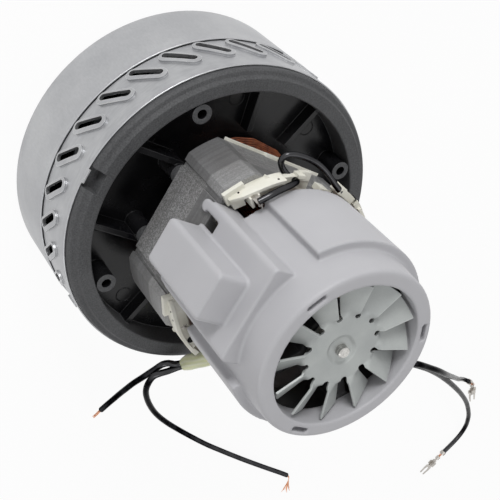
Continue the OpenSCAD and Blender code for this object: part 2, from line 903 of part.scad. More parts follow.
// Brush tube with its closed outer end, on the -Y side
tube_in_y = commutator_r + 2;
tube_out_y = leg_y - cover_t - 0.3;
module brush_tube() {
    w = brush_w / 2 + brush_clear;
    h = brush_h / 2 + brush_clear;
    flange_x = leg_x - leg_shift - cover_t - 0.1;
    translate([0, 0, brush_z])
        difference() {
            union() {
                translate([-w - tube_t, -tube_out_y, -h - tube_t])
                    cube([2 * (w + tube_t), tube_out_y - tube_in_y, 2 * (h + tube_t)]);
                // Flange that rests in the cover's flat
                translate([-flange_x, -front_y + cover_t + 0.1, -h - tube_t])
                    cube([2 * flange_x, 1.2, 2 * (h + tube_t)]);
            }
            translate([-w, -tube_out_y + tube_t, -h])
                cube([2 * w, tube_out_y, 2 * h]);
        }
}

module brush_tube_front() {
    color([0.8, 0.68, 0.38])
        brush_tube();
}

module brush_tube_back() {
    color([0.8, 0.68, 0.38])
        rotate([0, 0, 180])
            brush_tube();
}

brush_gap = 0.3;
brush_in_y = commutator_r + brush_gap;
module carbon_brush() {
    translate([-brush_w / 2, -brush_in_y - brush_len, brush_z - brush_h / 2])
        cube([brush_w, brush_len, brush_h]);
    // Stub that centres the spring
    translate([0, -brush_in_y - brush_len + 0.1, brush_z])
        rotate([90, 0, 0])
            cylinder(r = 1.4, h = brush_travel + 3, $fn = 24);
}

module carbon_brush_front() {
    color([0.2, 0.2, 0.21])
        carbon_brush();
}

module carbon_brush_back() {
    color([0.2, 0.2, 0.21])
        rotate([0, 0, 180])
            carbon_brush();
}

spring_y0 = brush_in_y + brush_len + brush_travel + 0.15 + spring_wire_r;
spring_y1 = tube_out_y - tube_t - 0.15 - spring_wire_r;
spring_r = brush_w / 2 - spring_wire_r - 0.35;
spring_points = [
    for (i = [0 : spring_turns * 8])
        [
            spring_r * cos(i * 45),
            -spring_y0 - (spring_y1 - spring_y0) * i / (spring_turns * 8),
            brush_z + spring_r * sin(i * 45)
        ]
];
echo("least gap between the coils of a brush spring",
    (spring_y1 - spring_y0) / spring_turns - 2 * spring_wire_r);

module brush_spring_front() {
    color([0.7, 0.7, 0.7])
        tube_along(spring_points, spring_wire_r, 6);
}

module brush_spring_back() {
    color([0.7, 0.7, 0.7])
        rotate([0, 0, 180])
            tube_along(spring_points, spring_wire_r, 6);
}

module shaft() {
    step_z = commutator_z + commutator_h + 6;
    stub_z = fan_z - fan_t;
    tip = 0.5;
    color([0.75, 0.75, 0.74]) {
        translate([0, 0, shaft_low_z])
            cylinder(r = shaft_r, h = step_z - shaft_low_z);
        translate([0, 0, step_z - cut])
            cylinder(r = shaft_top_r, h = stub_z - step_z + cut);
        translate([0, 0, stub_z - cut])
            cylinder(r = stub_r, h = shaft_top_z - tip - stub_z + cut);
        translate([0, 0, shaft_top_z - tip])
            cylinder(r1 = stub_r, r2 = stub_r - tip, h = tip);
    }
}

module armature_core() {
    color([0.5, 0.5, 0.51])
        difference() {
            ring(armature_r, shaft_r, core_z, core_top);
            for (i = [0 : armature_slots - 1])
                rotate([0, 0, i * 360 / armature_slots])
                    translate([armature_r - 7, -1.6, core_z - cut])
                        cube([8, 3.2, stack_h + 2 * cut]);
        }
}

// Winding heads at both ends of the armature, joined by the bars in its slots
module armature_windings() {
    head_r = armature_r - 2.2;
    color([0.55, 0.24, 0.12]) {
        for (z = [winding_low_z + 3.1, core_top + 3.1])
            translate([0, 0, z])
                difference() {
                    rotate_extrude()
                        translate([shaft_r + 1.2, -3.05])
                            difference() {
                                square([head_r - shaft_r - 1.2, 6.1]);
                                translate([head_r - shaft_r - 1.2, z < core_z ? 0 : 6.1])
                                    circle(r = 1.6, $fn = 32);
                            }
                }
        for (i = [0 : armature_slots - 1])
            rotate([0, 0, i * 360 / armature_slots])
                translate([armature_r - 6.8, -1.4, core_z - 0.5])
                    cube([3.8, 2.8, stack_h + 1]);
    }
}

module commutator() {
    riser_r = commutator_r + 2;
    color([0.72, 0.42, 0.22])
        difference() {
            union() {
                ring(commutator_r, shaft_r, commutator_z, commutator_z + commutator_h);
                ring(riser_r - 1, shaft_r, winding_high_z + 0.1, commutator_z + 0.1);
            }
            for (i = [0 : commutator_bars - 1])
                rotate([0, 0, (i + 0.5) * 360 / commutator_bars])
                    translate([commutator_r - 0.8, -0.3, commutator_z])
                        cube([4, 0.6, commutator_h + cut]);
        }
}

// A blade twists out of the hub's plane between its root and the first third of its length
blade_r0 = fan_hub_r - 1;
blade_turn_r = keyhole_pitch_r + 4;
blade_room = blade_tip_w / 2 * sin(blade_pitch) + fan_t;
function blade_half(r) = (blade_root_w + (blade_tip_w - blade_root_w)
    * (r - keyhole_pitch_r) / (fan_r - keyhole_pitch_r)) / 2;
function blade_angle(r) = blade_pitch * smooth((r - blade_r0 - 0.5) / (blade_turn_r - blade_r0 - 0.5));
function blade_mesh_point(r, c, side) =
    let (
        w = blade_half(r) * c,
        a = blade_angle(r),
        h = side * (fan_t / 2 - 0.03),
        y = w * cos(a) + h * sin(a),
        x = sqrt(r * r - y * y)
    )
    [x, y, -w * sin(a) + h * cos(a)];

module blade() {
    rows = 7;
    cols = 4;
    pts = [
        for (side = [1, -1], i = [0 : rows], j = [0 : cols])
            blade_mesh_point(blade_r0 + (fan_r - blade_r0) * i / rows, 2 * j / cols - 1, side)
    ];
    half_n = (rows + 1) * (cols + 1);
    function at(i, j, k) = k * half_n + i * (cols + 1) + j;
    skin = [
        for (i = [0 : rows - 1], j = [0 : cols - 1], k = [0, 1], f = [0, 1])
            let (
                a = at(i, j, k),
                b = at(i + 1, j, k),
                c = at(i + 1, j + 1, k),
                d = at(i, j + 1, k),
                tri = f == 0 ? [a, d, b] : [b, d, c]
            )
            k == 0 ? tri : [tri[0], tri[2], tri[1]]
    ];
    rim = concat(
        [for (i = [0 : rows - 1]) [at(i, 0, 0), at(i + 1, 0, 0), at(i, 0, 1)]],
        [for (i = [0 : rows - 1]) [at(i + 1, 0, 0), at(i + 1, 0, 1), at(i, 0, 1)]],
        [for (i = [0 : rows - 1]) [at(i, cols, 0), at(i, cols, 1), at(i + 1, cols, 0)]],
        [for (i = [0 : rows - 1]) [at(i + 1, cols, 0), at(i, cols, 1), at(i + 1, cols, 1)]],
        [for (j = [0 : cols - 1]) [at(0, j, 0), at(0, j, 1), at(0, j + 1, 0)]],
        [for (j = [0 : cols - 1]) [at(0, j + 1, 0), at(0, j, 1), at(0, j + 1, 1)]],
        [for (j = [0 : cols - 1]) [at(rows, j, 0), at(rows, j + 1, 0), at(rows, j, 1)]],
        [for (j = [0 : cols - 1]) [at(rows, j + 1, 0), at(rows, j + 1, 1), at(rows, j, 1)]]
    );
    polyhedron(points = pts, faces = concat(skin, rim));
}

module cooling_fan() {
    color([0.64, 0.67, 0.66])
        translate([0, 0, fan_z])
            difference() {
                union() {
                    translate([0, 0, -fan_t])
                        cylinder(r = keyhole_pitch_r + 0.2, h = fan_t);
                    // Collar pressed on the shaft
                    translate([0, 0, -5])
                        cylinder(r = shaft_top_r + 2, h = 5);
                    for (i = [0 : blade_count - 1])
                        rotate([0, 0, fan_turn + (i + 0.5) * 360 / blade_count])
                            translate([0, 0, -fan_t / 2])
                                blade();
                }
                translate([0, 0, -10])
                    cylinder(r = shaft_top_r, h = 10 - fan_t);
                translate([0, 0, -10])
                    cylinder(r = stub_r, h = 20);
                for (i = [0 : blade_count - 1])
                    rotate([0, 0, fan_turn + i * 360 / blade_count])
                        translate([keyhole_pitch_r, 0, -6])
                            cylinder(r = keyhole_r, h = 12, $fn = 24);
                // Pressed dish round the shaft
                translate([0, 0, -0.5])
                    linear_extrude(2)
                        rotate([0, 0, 60])
                            obround(13, 10);
            }
}

module impeller_spacers() {
    spacer_r = shaft_r + 3;
    color([0.68, 0.68, 0.7]) {
        ring(spacer_r, shaft_r, stage1_top, stage2_z + 1);
        ring(spacer_r - 1, shaft_r, stage2_top, low_bearing_z - 0.2);
        ring(spacer_r - 1, shaft_r, low_bearing_z + bearing_h + 0.2, winding_low_z);
    }
}

module impeller_nut() {
    color([0.7, 0.7, 0.68])
        translate([0, 0, shaft_low_z + 0.6])
            difference() {
                union() {
                    cylinder(r = shaft_r + 3.4, h = stage1_z + 0.2 - shaft_low_z, $fn = 6);
                    translate([0, 0, stage1_z - 0.6 - shaft_low_z])
                        cylinder(r = shaft_r + 4.4, h = 1);
                }
                translate([0, 0, -cut])
                    cylinder(r = shaft_r, h = 20);
            }
}

// Lead from the left former's front pocket to the block behind it, looped outside the wall
jumper_points = [
    [-28.8, -32.5, 109.3], [-32.4, -29.6, 109.6], [-35.4, -26.2, 109], [-37.8, -22, 107.6],
    [-39.2, -18.4, 105.6], [-39.4, -15.8, 103.2], [-38.9, -14.8, 100.4], [-38.9, -16, 97.8],
    [-40.2, -18.8, 96.2], [-42.6, -21.2, 95.8], [-45.4, -21, 96.2], [-47.2, -17.8, 97], [-48, -13.6, 98],
    [-48, -9, 99], [-47.2, -4.8, 100], [-45.6, -0.8, 101.2], [-43.8, 2.8, 102.4], [-42, 7.1, 103.4]
];
tail_r = lead_r - 0.2;
module jumper_lead() {
    color([0.08, 0.08, 0.09])
        tube_along(jumper_points, tail_r, 8);
}

// Tails of the right coil, from its former's back pocket to the sleeve
upper_tail_points = [
    [28.8, 32.5, 109], [32.4, 29.9, 109], [36, 27, 108.4], [39.8, 23, 106.6], [42.2, 18.4, 103.9],
    [41.8, 13.6, 100.9], [40.2, 10.9, 98.2], [39.5, 10, 95.8], [41.3, 10.2, 94.2]
];
lower_tail_points = [
    [29.4, 32.9, 105.5], [32.9, 30.4, 105.5], [37, 28.2, 104.8], [40.9, 24.7, 102.9], [42.6, 20.6, 100.4],
    [41.6, 16.6, 98.2], [39.5, 13.6, 95.8], [41.3, 13.8, 94.2]
];
module coil_tails() {
    color([0.08, 0.08, 0.09]) {
        tube_along(upper_tail_points, tail_r, 8);
        tube_along(lower_tail_points, tail_r, 8);
    }
}

// Routes of the leads, from the sleeve or the cover outwards
long_points = [
    [65.2, 15.8, 72.2], [67.4, 15.4, 70.4], [69.9, 12.9, 69.4], [73.1, 9.8, 68.7], [78, 6.9, 66],
    [85.3, 10.5, 60.8], [95.5, 18.8, 53], [107.8, 32.8, 43], [120.9, 50.8, 32], [132.6, 70.6, 21.8],
    [143, 91.7, 13], [151.7, 112.2, 6.8], [157.1, 126.4, 3.4], [160.9, 139.3, 1.7], [165.8, 161.7, 1.5],
    [170.2, 184.7, 1.5], [173.2, 201.6, 1.5], [174.6, 208.7, 1.5]
];
long_bare_points = [
    [174.8, 209.5, 1.5], [176.3, 212, 1.5], [179.8, 213.9, 1.3], [184.8, 215, 1.2], [189.6, 216.2, 1.1]
];
short_points = [
    [65.4, 12.2, 72], [67.1, 11.6, 70.6], [68.2, 9.7, 69.9], [68.8, 7.4, 69], [71.2, 6.4, 67],
    [77, 8.8, 62], [83.2, 11, 57], [90.8, 14.8, 50], [98.9, 18.8, 42.5], [108, 23.5, 34.5],
    [116.3, 28.1, 27], [124.2, 32.2, 20.3], [132.4, 35.9, 13.8], [139.8, 38.6, 8.6]
];
lead_exit_x = [-leg_shift - 2.1, -leg_shift + 2.1];
lead_exit_z = 129.4;
forked_points = [
    [lead_exit_x[1], 49, lead_exit_z], [lead_exit_x[1], 56, lead_exit_z], [4.4, 62.4, 127.9],
    [8.9, 69.2, 125.8], [13.9, 82.6, 122.4], [15.9, 92.9, 119.4], [20.7, 112.8, 111], [30.7, 147.3, 95],
    [43.5, 187.9, 77], [58.3, 231.3, 58], [73.8, 271.6, 40], [90.3, 307, 24], [99.6, 323.2, 16.4],
    [107.8, 336, 10], [116.8, 346, 4.6], [124.6, 349.6, 2.2], [132.3, 348, 1.95], [139.8, 345.4, 1.95]
];
receptacle_points = [
    [lead_exit_x[0], 49, lead_exit_z], [lead_exit_x[0], 56.2, lead_exit_z], [-0.6, 61, 130.4],
    [5, 64.6, 131], [10.2, 70.5, 129.6], [12.1, 83.3, 125.8], [15.1, 98.1, 120.4], [18.8, 115.4, 114],
    [23.6, 133, 106], [31.8, 160.6, 91], [39.8, 186.8, 75.5], [47.9, 213, 60], [57.8, 244.8, 41],
    [67.6, 276.5, 22], [71.8, 291.4, 13], [75, 303.2, 6.4], [76.8, 311.8, 2.7], [77.5, 317.2, 1.95],
    [78.1, 320.6, 1.95]
];

module lead_long() {
    color([0.08, 0.08, 0.09])
        tube_along(long_points, lead_r, 8);
}

module lead_short() {
    color([0.08, 0.08, 0.09])
        tube_along(short_points, lead_r, 8);
}

module lead_forked() {
    color([0.08, 0.08, 0.09])
        tube_along(forked_points, lead_r, 8);
}

module lead_receptacle() {
    color([0.08, 0.08, 0.09])
        tube_along(receptacle_points, lead_r, 8);
}

// Stands a piece on the last point of a route, with +X leading away from it
module at_end(p) {
    e = p[len(p) - 1];
    d = path_dir(p, len(p) - 1);
    translate(e)
        rotate([0, -asin(d[2]), 0] + [0, 0, atan2(d[1], d[0])])
            children();
}

module bare_end_long() {
    color([0.8, 0.45, 0.3])
        tube_along(long_bare_points, lead_r * 0.55, 8);
}

module bare_end_short() {
    color([0.8, 0.45, 0.3])
        at_end(short_points)
            rotate([0, 90, 0])
                cylinder(r = lead_r * 0.55, h = bare_len, $fn = 24);
}

// Crimped barrel, a wing on either side and two prongs
module prong_terminal(p, prong_gap, prong_len) {
    color([0.72, 0.7, 0.66])
        at_end(p) {
            rotate([0, 90, 0])
                cylinder(r = lead_r + 0.4, h = 2.5, $fn = 24);
            translate([2, -1, -terminal_t])
                cube([7, 2, 2 * terminal_t]);
            translate([6, -3.4, -terminal_t / 2])
                cube([5, 6.8, terminal_t]);
            for (s = [-1, 1])
                translate([10, s * prong_gap - 0.6, -terminal_t / 2])
                    cube([prong_len, 1.2, terminal_t]);
        }
}

module fork_terminal() {
    prong_terminal(forked_points, 2, 6);
}

module receptacle_terminal() {
    prong_terminal(receptacle_points, 1.3, 6);
}

// Flexible sleeve over the pair of leads that comes off the right former
sleeve_points = [
    [41.5, 12, 94], [46, 12.4, 90], [51, 12.8, 85.6], [56, 13.3, 81], [60.4, 14, 76.2], [65, 14, 72.3]
];
module lead_sleeve() {
    color([0.85, 0.85, 0.6])
        tube_along(sleeve_points, sleeve_r, 16);
}

fan_shell();
louvre_band();
interstage_guide();
end_bracket();
lower_bearing();
upper_bearing();
wave_washer();
stator_core();
clamp_screws();
bobbin_left();
bobbin_right();
field_coil_left();
field_coil_right();
motor_cover();
brush_tube_front();
brush_tube_back();
brush_spring_front();
brush_spring_back();
carbon_brush_front();
carbon_brush_back();
shaft();
armature_core();
armature_windings();
commutator();
cooling_fan();
impeller_lower();
impeller_upper();
impeller_spacers();
impeller_nut();
jumper_lead();
coil_tails();
lead_sleeve();
lead_long();
lead_short();
lead_forked();
lead_receptacle();
bare_end_long();
bare_end_short();
fork_terminal();
receptacle_terminal();
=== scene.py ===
import random
from math import copysign, cos, pi, radians, sin, sqrt

import bmesh
import bpy
from mathutils import Matrix, Vector


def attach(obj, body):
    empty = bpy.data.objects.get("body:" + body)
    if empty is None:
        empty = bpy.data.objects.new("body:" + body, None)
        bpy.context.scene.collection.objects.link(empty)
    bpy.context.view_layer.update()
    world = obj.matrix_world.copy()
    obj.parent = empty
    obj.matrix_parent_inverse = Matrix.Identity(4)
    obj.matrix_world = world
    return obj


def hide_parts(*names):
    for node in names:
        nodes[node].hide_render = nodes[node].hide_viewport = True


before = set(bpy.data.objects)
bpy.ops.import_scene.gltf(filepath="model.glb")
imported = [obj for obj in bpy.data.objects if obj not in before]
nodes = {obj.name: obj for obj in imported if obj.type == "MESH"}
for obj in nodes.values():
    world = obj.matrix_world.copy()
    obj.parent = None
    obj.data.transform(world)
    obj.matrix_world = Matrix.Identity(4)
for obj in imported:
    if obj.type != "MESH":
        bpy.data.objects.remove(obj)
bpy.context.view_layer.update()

scene = bpy.context.scene
mm = 0.001


def report(text):
    print("scene:", text)


# Camera, floor and light

cameraSettings = {
    "place": (-0.1137, -0.2739, 0.3775),
    "right": (-0.4997, 0.7214, 0.4795),
    "up": (-0.8222, -0.2208, -0.5246),
    "back": (-0.2726, -0.6564, 0.7034),
    "focalPixels": 1015.2,
    "framePixels": 500,
    "sensor": 36.0,
}


def makeCamera(s):
    data = bpy.data.cameras.new("camera")
    data.sensor_width = s["sensor"]
    data.lens = s["focalPixels"] / s["framePixels"] * s["sensor"]
    data.clip_start = 0.01
    cam = bpy.data.objects.new("camera", data)
    scene.collection.objects.link(cam)
    turned = Matrix((s["right"], s["up"], s["back"])).transposed().to_4x4()
    turned.translation = Vector(s["place"])
    cam.matrix_world = turned
    scene.camera = cam


makeCamera(cameraSettings)
scene.view_settings.view_transform = "Standard"

floorSettings = {"half": 2.5, "colour": (0.9, 0.9, 0.9), "glow": 0.93}
lampSettings = [
    {"name": "key", "place": (-0.95, -0.75, 0.5), "aim": (0.0, 0.0, 0.08), "size": 0.5, "power": 9.0},
    {"name": "top", "place": (0.1, 0.3, 1.2), "aim": (0.0, 0.0, 0.08), "size": 0.9, "power": 2.0},
    {"name": "side", "place": (0.85, -0.35, 0.45), "aim": (0.0, 0.0, 0.1), "size": 0.5, "power": 1.4},
]
worldStrength = 0.42


# Node helpers. A tree's nodes stand in a row, in the order in which they are made. As an
# input's value, a node stands for its first output.

def fill(tree, node, inputs):
    for label, value in inputs.items():
        socket = node.inputs[label]
        if isinstance(value, bpy.types.Node):
            value = value.outputs[0]
        if isinstance(value, bpy.types.NodeSocket):
            tree.links.new(value, socket)
        elif value is not None:
            opaque = socket.type == "RGBA" and len(value) == 3
            socket.default_value = (*value, 1.0) if opaque else value


def put(tree, kind, inputs=None, **settings):
    node = tree.nodes.new(kind)
    node.location = (200 * len(tree.nodes), 0)
    for key, value in settings.items():
        setattr(node, key, value)
    fill(tree, node, inputs or {})
    return node


def mathNode(tree, operation, a, b=None, clamp=False):
    return put(tree, "ShaderNodeMath", {0: a, 1: b}, operation=operation, use_clamp=clamp)


def ramp(tree, source, *stops):
    node = put(tree, "ShaderNodeValToRGB", {"Fac": source})
    points = node.color_ramp.elements
    while len(points) < len(stops):
        points.new(0.5)
    for point, (place, colour) in zip(points, stops):
        point.position = place
        point.color = (*colour, 1.0)
    return node.outputs["Color"]


def blendColour(tree, factor, a, b, how="MIX"):
    node = put(tree, "ShaderNodeMix", {0: factor, 6: a, 7: b}, data_type="RGBA", blend_type=how)
    return node.outputs[2]


def bump(tree, height, strength, distance, normal=None):
    return put(tree, "ShaderNodeBump", {
        "Strength": strength, "Distance": distance, "Height": height, "Normal": normal,
    })


def spread(tree, source, low, high, start=0.3, end=0.7):
    return put(tree, "ShaderNodeMapRange", {
        "Value": source, "From Min": start, "From Max": end, "To Min": low, "To Max": high,
    })


def objectPlace(tree):
    return put(tree, "ShaderNodeTexCoord").outputs["Object"]


def splitUp(tree, vector):
    return put(tree, "ShaderNodeSeparateXYZ", {0: vector}).outputs


# Distance from the shaft's axis, and height
def roundPlace(tree):
    place = objectPlace(tree)
    flat = put(tree, "ShaderNodeVectorMath", {0: place, 1: (1, 1, 0)}, operation="MULTIPLY")
    out = put(tree, "ShaderNodeVectorMath", {0: flat}, operation="LENGTH")
    return out.outputs["Value"], splitUp(tree, place)["Z"]


floatKind = "NodeSocketFloat"
vectorKind = "NodeSocketVector"
inputKinds = {float: floatKind, int: "NodeSocketInt", tuple: vectorKind}
shapeOutput = {"Geometry": "NodeSocketGeometry"}


# A group's inputs are given with their values, and its outputs with their kinds
def newTree(name, inputs, outputs, kind="ShaderNodeTree"):
    tree = bpy.data.node_groups.new(name, kind)
    for label, value in inputs.items():
        socket = tree.interface.new_socket(label, in_out="INPUT", socket_type=inputKinds[type(value)])
        socket.default_value = value
    for label, outputKind in outputs.items():
        tree.interface.new_socket(label, in_out="OUTPUT", socket_type=outputKind)
    return tree, put(tree, "NodeGroupInput").outputs, put(tree, "NodeGroupOutput")


# Noise drawn out along the wall of a round piece, as on rolled or brushed sheet
def makeStreakGroup():
    inputs = {"Radius": 0.07, "Stretch": (1.0, 1.0, 1.0), "Scale": 900.0}
    group, source, result = newTree("streaks", inputs, {"Value": floatKind})
    x, y, z = splitUp(group, objectPlace(group))
    along = mathNode(group, "MULTIPLY", mathNode(group, "ARCTAN2", y, x), source["Radius"])
    squares = mathNode(group, "ADD", mathNode(group, "MULTIPLY", x, x), mathNode(group, "MULTIPLY", y, y))
    out = mathNode(group, "SQRT", squares)
    unrolled = put(group, "ShaderNodeCombineXYZ", {"X": along, "Y": z, "Z": out})
    scaled = put(group, "ShaderNodeVectorMath", {0: unrolled, 1: source["Stretch"]}, operation="MULTIPLY")
    noise = put(group, "ShaderNodeTexNoise", {
        "Vector": scaled, "Scale": source["Scale"], "Detail": 5.0, "Roughness": 0.62,
    })
    fill(group, result, {"Value": noise})
    return group


# Where the surface turns sharply: a mask for painted highlights along edges, and a rounded normal
def makeEdgeGroup():
    outputs = {"Mask": floatKind, "Normal": vectorKind}
    group, source, result = newTree("edges", {"Radius": 0.0006, "Gain": 3.0}, outputs)
    soft = put(group, "ShaderNodeBevel", {"Radius": source["Radius"]}, samples=6)
    shape = put(group, "ShaderNodeNewGeometry").outputs["Normal"]
    dot = put(group, "ShaderNodeVectorMath", {0: soft, 1: shape}, operation="DOT_PRODUCT")
    away = mathNode(group, "SUBTRACT", 1.0, dot.outputs["Value"])
    gained = mathNode(group, "MULTIPLY", away, source["Gain"], clamp=True)
    fill(group, result, {"Mask": gained, "Normal": soft})
    return group


# Two sizes of grain together, for moulded skin and for dust
def makeGrainGroup():
    inputs = {"Fine": 2600.0, "Coarse": 260.0, "Share": 0.35}
    outputs = {"Value": floatKind, "Patches": floatKind}
    group, source, result = newTree("grain", inputs, outputs)
    place = objectPlace(group)
    fine, coarse = [
        put(group, "ShaderNodeTexNoise", {"Vector": place, "Scale": source[label], "Detail": detail})
        for label, detail in (("Fine", 3.0), ("Coarse", 6.0))
    ]
    less = mathNode(group, "MULTIPLY", coarse, source["Share"])
    fill(group, result, {"Value": mathNode(group, "ADD", fine, less), "Patches": coarse})
    return group


streakGroup = makeStreakGroup()
edgeGroup = makeEdgeGroup()
grainGroup = makeGrainGroup()


def useGroup(tree, group, **inputs):
    return put(tree, "ShaderNodeGroup", inputs, node_tree=group).outputs


def clearTree(owner):
    owner.use_nodes = True
    owner.node_tree.nodes.clear()
    return owner.node_tree


def newMaterial(name, values):
    material = bpy.data.materials.new(name)
    tree = clearTree(material)
    shader = put(tree, "ShaderNodeBsdfPrincipled", values)
    put(tree, "ShaderNodeOutputMaterial", {"Surface": shader})
    return material, tree, shader


# Materials

white = (1.0, 1.0, 1.0)


# Sheet metal with a rolled grain, cloudy zinc and painted highlights along sharp edges
def sheetMetal(name, s):
    material, tree, shader = newMaterial(name, {"Metallic": s["metallic"]})
    streaks = useGroup(tree, streakGroup, Radius=s["radius"], Stretch=s["stretch"], Scale=s["scale"])[0]
    grain = useGroup(tree, grainGroup, Fine=s["fine"], Coarse=s["cloud"], Share=0.5)
    edges = useGroup(tree, edgeGroup, Radius=s["edge"], Gain=2.2)
    base = ramp(tree, streaks, (0.3, s["dark"]), (0.7, s["light"]))
    cloudy = ramp(tree, grain["Patches"], (0.35, (0.86, 0.86, 0.87)), (0.65, white))
    mixed = blendColour(tree, 1.0, base, cloudy, "MULTIPLY")
    # painted highlight: sharp edges take a lighter colour
    fill(tree, shader, {
        "Base Color": blendColour(tree, edges["Mask"], mixed, s["edgeHighlight"]),
        "Roughness": spread(tree, streaks, *s["rough"]),
        "Normal": bump(tree, streaks, s["bump"], 0.0002),
    })
    return material


# Moulded plastic: fine skin, faint cloudiness, painted highlights along sharp edges. Painted shade makes the
# inside of a cover near black, and a rough face at the top or outside of a moulding is paler.
def moulded(name, s):
    values = {"Metallic": 0.0, "Specular IOR Level": s.get("specular", 0.5)}
    material, tree, shader = newMaterial(name, values)
    grain = useGroup(tree, grainGroup, Fine=s["fine"], Coarse=s["cloud"], Share=0.3)
    edges = useGroup(tree, edgeGroup, Radius=s["edge"], Gain=s["edgeGain"])
    base = ramp(tree, grain["Patches"], (0.3, s["dark"]), (0.7, s["light"]))
    rough = spread(tree, grain["Patches"], *s["rough"])
    # painted shade: near the shaft and below its top, the cover's inside is near black
    if "inside" in s:
        near, low = [
            mathNode(tree, "LESS_THAN", reach, limit) for reach, limit in zip(roundPlace(tree), s["inside"])
        ]
        shadedInside = mathNode(tree, "MULTIPLY", near, low)
        base = blendColour(tree, shadedInside, base, s["insideShadeColour"])
    if "faces" in s:
        far, high = [
            mathNode(tree, "GREATER_THAN", reach, limit) for reach, limit in zip(roundPlace(tree), s["faces"])
        ]
        raised = mathNode(tree, "MAXIMUM", far, high)
        mottled = ramp(tree, grain["Value"], (0.35, s["faceDark"]), (0.95, s["faceLight"]))
        base = blendColour(tree, raised, base, mottled)
        rough = mathNode(tree, "MAXIMUM", rough, mathNode(tree, "MULTIPLY", raised, s["faceRough"]))
    # painted highlight: sharp edges take a lighter colour
    fill(tree, shader, {
        "Base Color": blendColour(tree, edges["Mask"], base, s["edgeHighlight"]),
        "Roughness": rough,
        "Normal": bump(tree, grain["Value"], s["bump"], 0.00015, edges["Normal"]),
    })
    return material


# Stacked laminations with speckled cut edges, and painted shade that makes them darker and smooth low on the
# arcs and high on the flats
def laminated(name, s):
    material, tree, shader = newMaterial(name, {"Metallic": 0.55})
    place = objectPlace(tree)
    out, height = roundPlace(tree)
    layer = mathNode(tree, "FLOOR", mathNode(tree, "MULTIPLY", height, 1.0 / s["sheet"]))
    perSheet = put(tree, "ShaderNodeTexWhiteNoise", {"W": layer}, noise_dimensions="1D")
    grit = put(tree, "ShaderNodeTexNoise", {
        "Vector": place, "Scale": s["speckle"], "Detail": 4.0, "Roughness": 0.7,
    })
    cloud = put(tree, "ShaderNodeTexNoise", {"Vector": place, "Scale": s["cloud"]})
    dots = ramp(tree, grit, (0.38, s["dark"]), (0.5, s["mid"]), (0.64, s["light"]))
    layered = ramp(tree, perSheet, (0.0, (0.84, 0.84, 0.84)), (1.0, white))
    stained = ramp(tree, cloud, (0.35, (0.82, 0.81, 0.8)), (0.65, white))
    arc = mathNode(tree, "GREATER_THAN", out, s["arcs"])
    high = spread(tree, height, 0.0, 1.0, *s["band"])
    # painted shade: a darker, smoother colour low on the arcs and high on the flats
    shadedBands = mathNode(tree, "ABSOLUTE", mathNode(tree, "SUBTRACT", high, arc))
    smooth = blendColour(tree, 0.8, dots, s["smooth"])
    softer = blendColour(tree, mathNode(tree, "MULTIPLY", arc, 0.55), dots, s["mid"])
    colour = blendColour(tree, shadedBands, softer, smooth)
    for shade in (layered, stained):
        colour = blendColour(tree, 1.0, colour, shade, "MULTIPLY")
    fill(tree, shader, {
        "Base Color": colour,
        "Roughness": spread(tree, grit, 0.42, 0.68),
        "Normal": bump(tree, grit, 0.35, 0.00012),
    })
    return material


# Enamelled or bare copper wire
def wire(name, s):
    values = {"Metallic": s["metallic"], "Coat Weight": s["coat"], "Coat Roughness": 0.12}
    material, tree, shader = newMaterial(name, values)
    grain = useGroup(tree, grainGroup, Fine=1800.0, Coarse=380.0, Share=0.6)
    fill(tree, shader, {
        "Base Color": ramp(tree, grain["Patches"], (0.32, s["dark"]), (0.68, s["light"])),
        "Roughness": spread(tree, grain["Value"], *s["rough"]),
        "Normal": bump(tree, grain["Value"], 0.2, 0.0001),
    })
    return material


# Black lead insulation: long soft ripples and a little lint. A dark metallic base and edge tint
# keep its gloss from turning white where a lead runs along the line of sight.
def insulation(name, s):
    material, tree, shader = newMaterial(name, {"Metallic": 1.0, "Specular Tint": s["tint"]})
    grain = useGroup(tree, grainGroup, Fine=3000.0, Coarse=120.0, Share=2.0)
    fill(tree, shader, {
        "Base Color": ramp(tree, grain["Patches"], (0.3, s["dark"]), (0.75, s["light"])),
        "Roughness": spread(tree, grain["Patches"], *s["rough"]),
        "Normal": bump(tree, grain["Value"], 0.03, 0.0002),
    })
    return material


# Soft yellow sleeving that lets some light through
def sleeving(name, s):
    values = {"Metallic": 0.0, "Transmission Weight": s["through"], "IOR": 1.4}
    material, tree, shader = newMaterial(name, values)
    weave = put(tree, "ShaderNodeTexWave", {
        "Vector": objectPlace(tree), "Scale": s["weave"], "Distortion": 2.0,
    }, wave_type="BANDS", bands_direction="DIAGONAL").outputs["Fac"]
    fill(tree, shader, {
        "Base Color": ramp(tree, weave, (0.2, s["dark"]), (0.8, s["light"])),
        "Roughness": spread(tree, weave, 0.3, 0.5),
        "Normal": bump(tree, weave, 0.3, 0.0002),
    })
    return material


cupSteel = sheetMetal("cup steel", {
    "metallic": 0.8, "radius": 0.072, "stretch": (1.0, 0.35, 1.0), "scale": 1100.0, "fine": 2200.0,
    "cloud": 45.0, "dark": (0.45, 0.455, 0.465), "light": (0.52, 0.525, 0.535), "edge": 0.0005,
    "edgeHighlight": (0.8, 0.81, 0.82), "rough": (0.4, 0.5), "bump": 0.05,
})
bandSteel = sheetMetal("band steel", {
    "metallic": 0.8, "radius": 0.072, "stretch": (0.25, 1.0, 1.0), "scale": 1000.0, "fine": 2000.0,
    "cloud": 90.0, "dark": (0.4, 0.405, 0.415), "light": (0.49, 0.495, 0.505), "edge": 0.0005,
    "edgeHighlight": (0.84, 0.84, 0.84), "rough": (0.32, 0.44), "bump": 0.05,
})
turnedSteel = sheetMetal("turned steel", {
    "metallic": 1.0, "radius": 0.004, "stretch": (0.06, 1.0, 1.0), "scale": 2600.0, "fine": 2200.0,
    "cloud": 200.0, "dark": (0.42, 0.41, 0.39), "light": (0.66, 0.65, 0.62), "edge": 0.0003,
    "edgeHighlight": (0.85, 0.84, 0.8), "rough": (0.22, 0.36), "bump": 0.1,
})
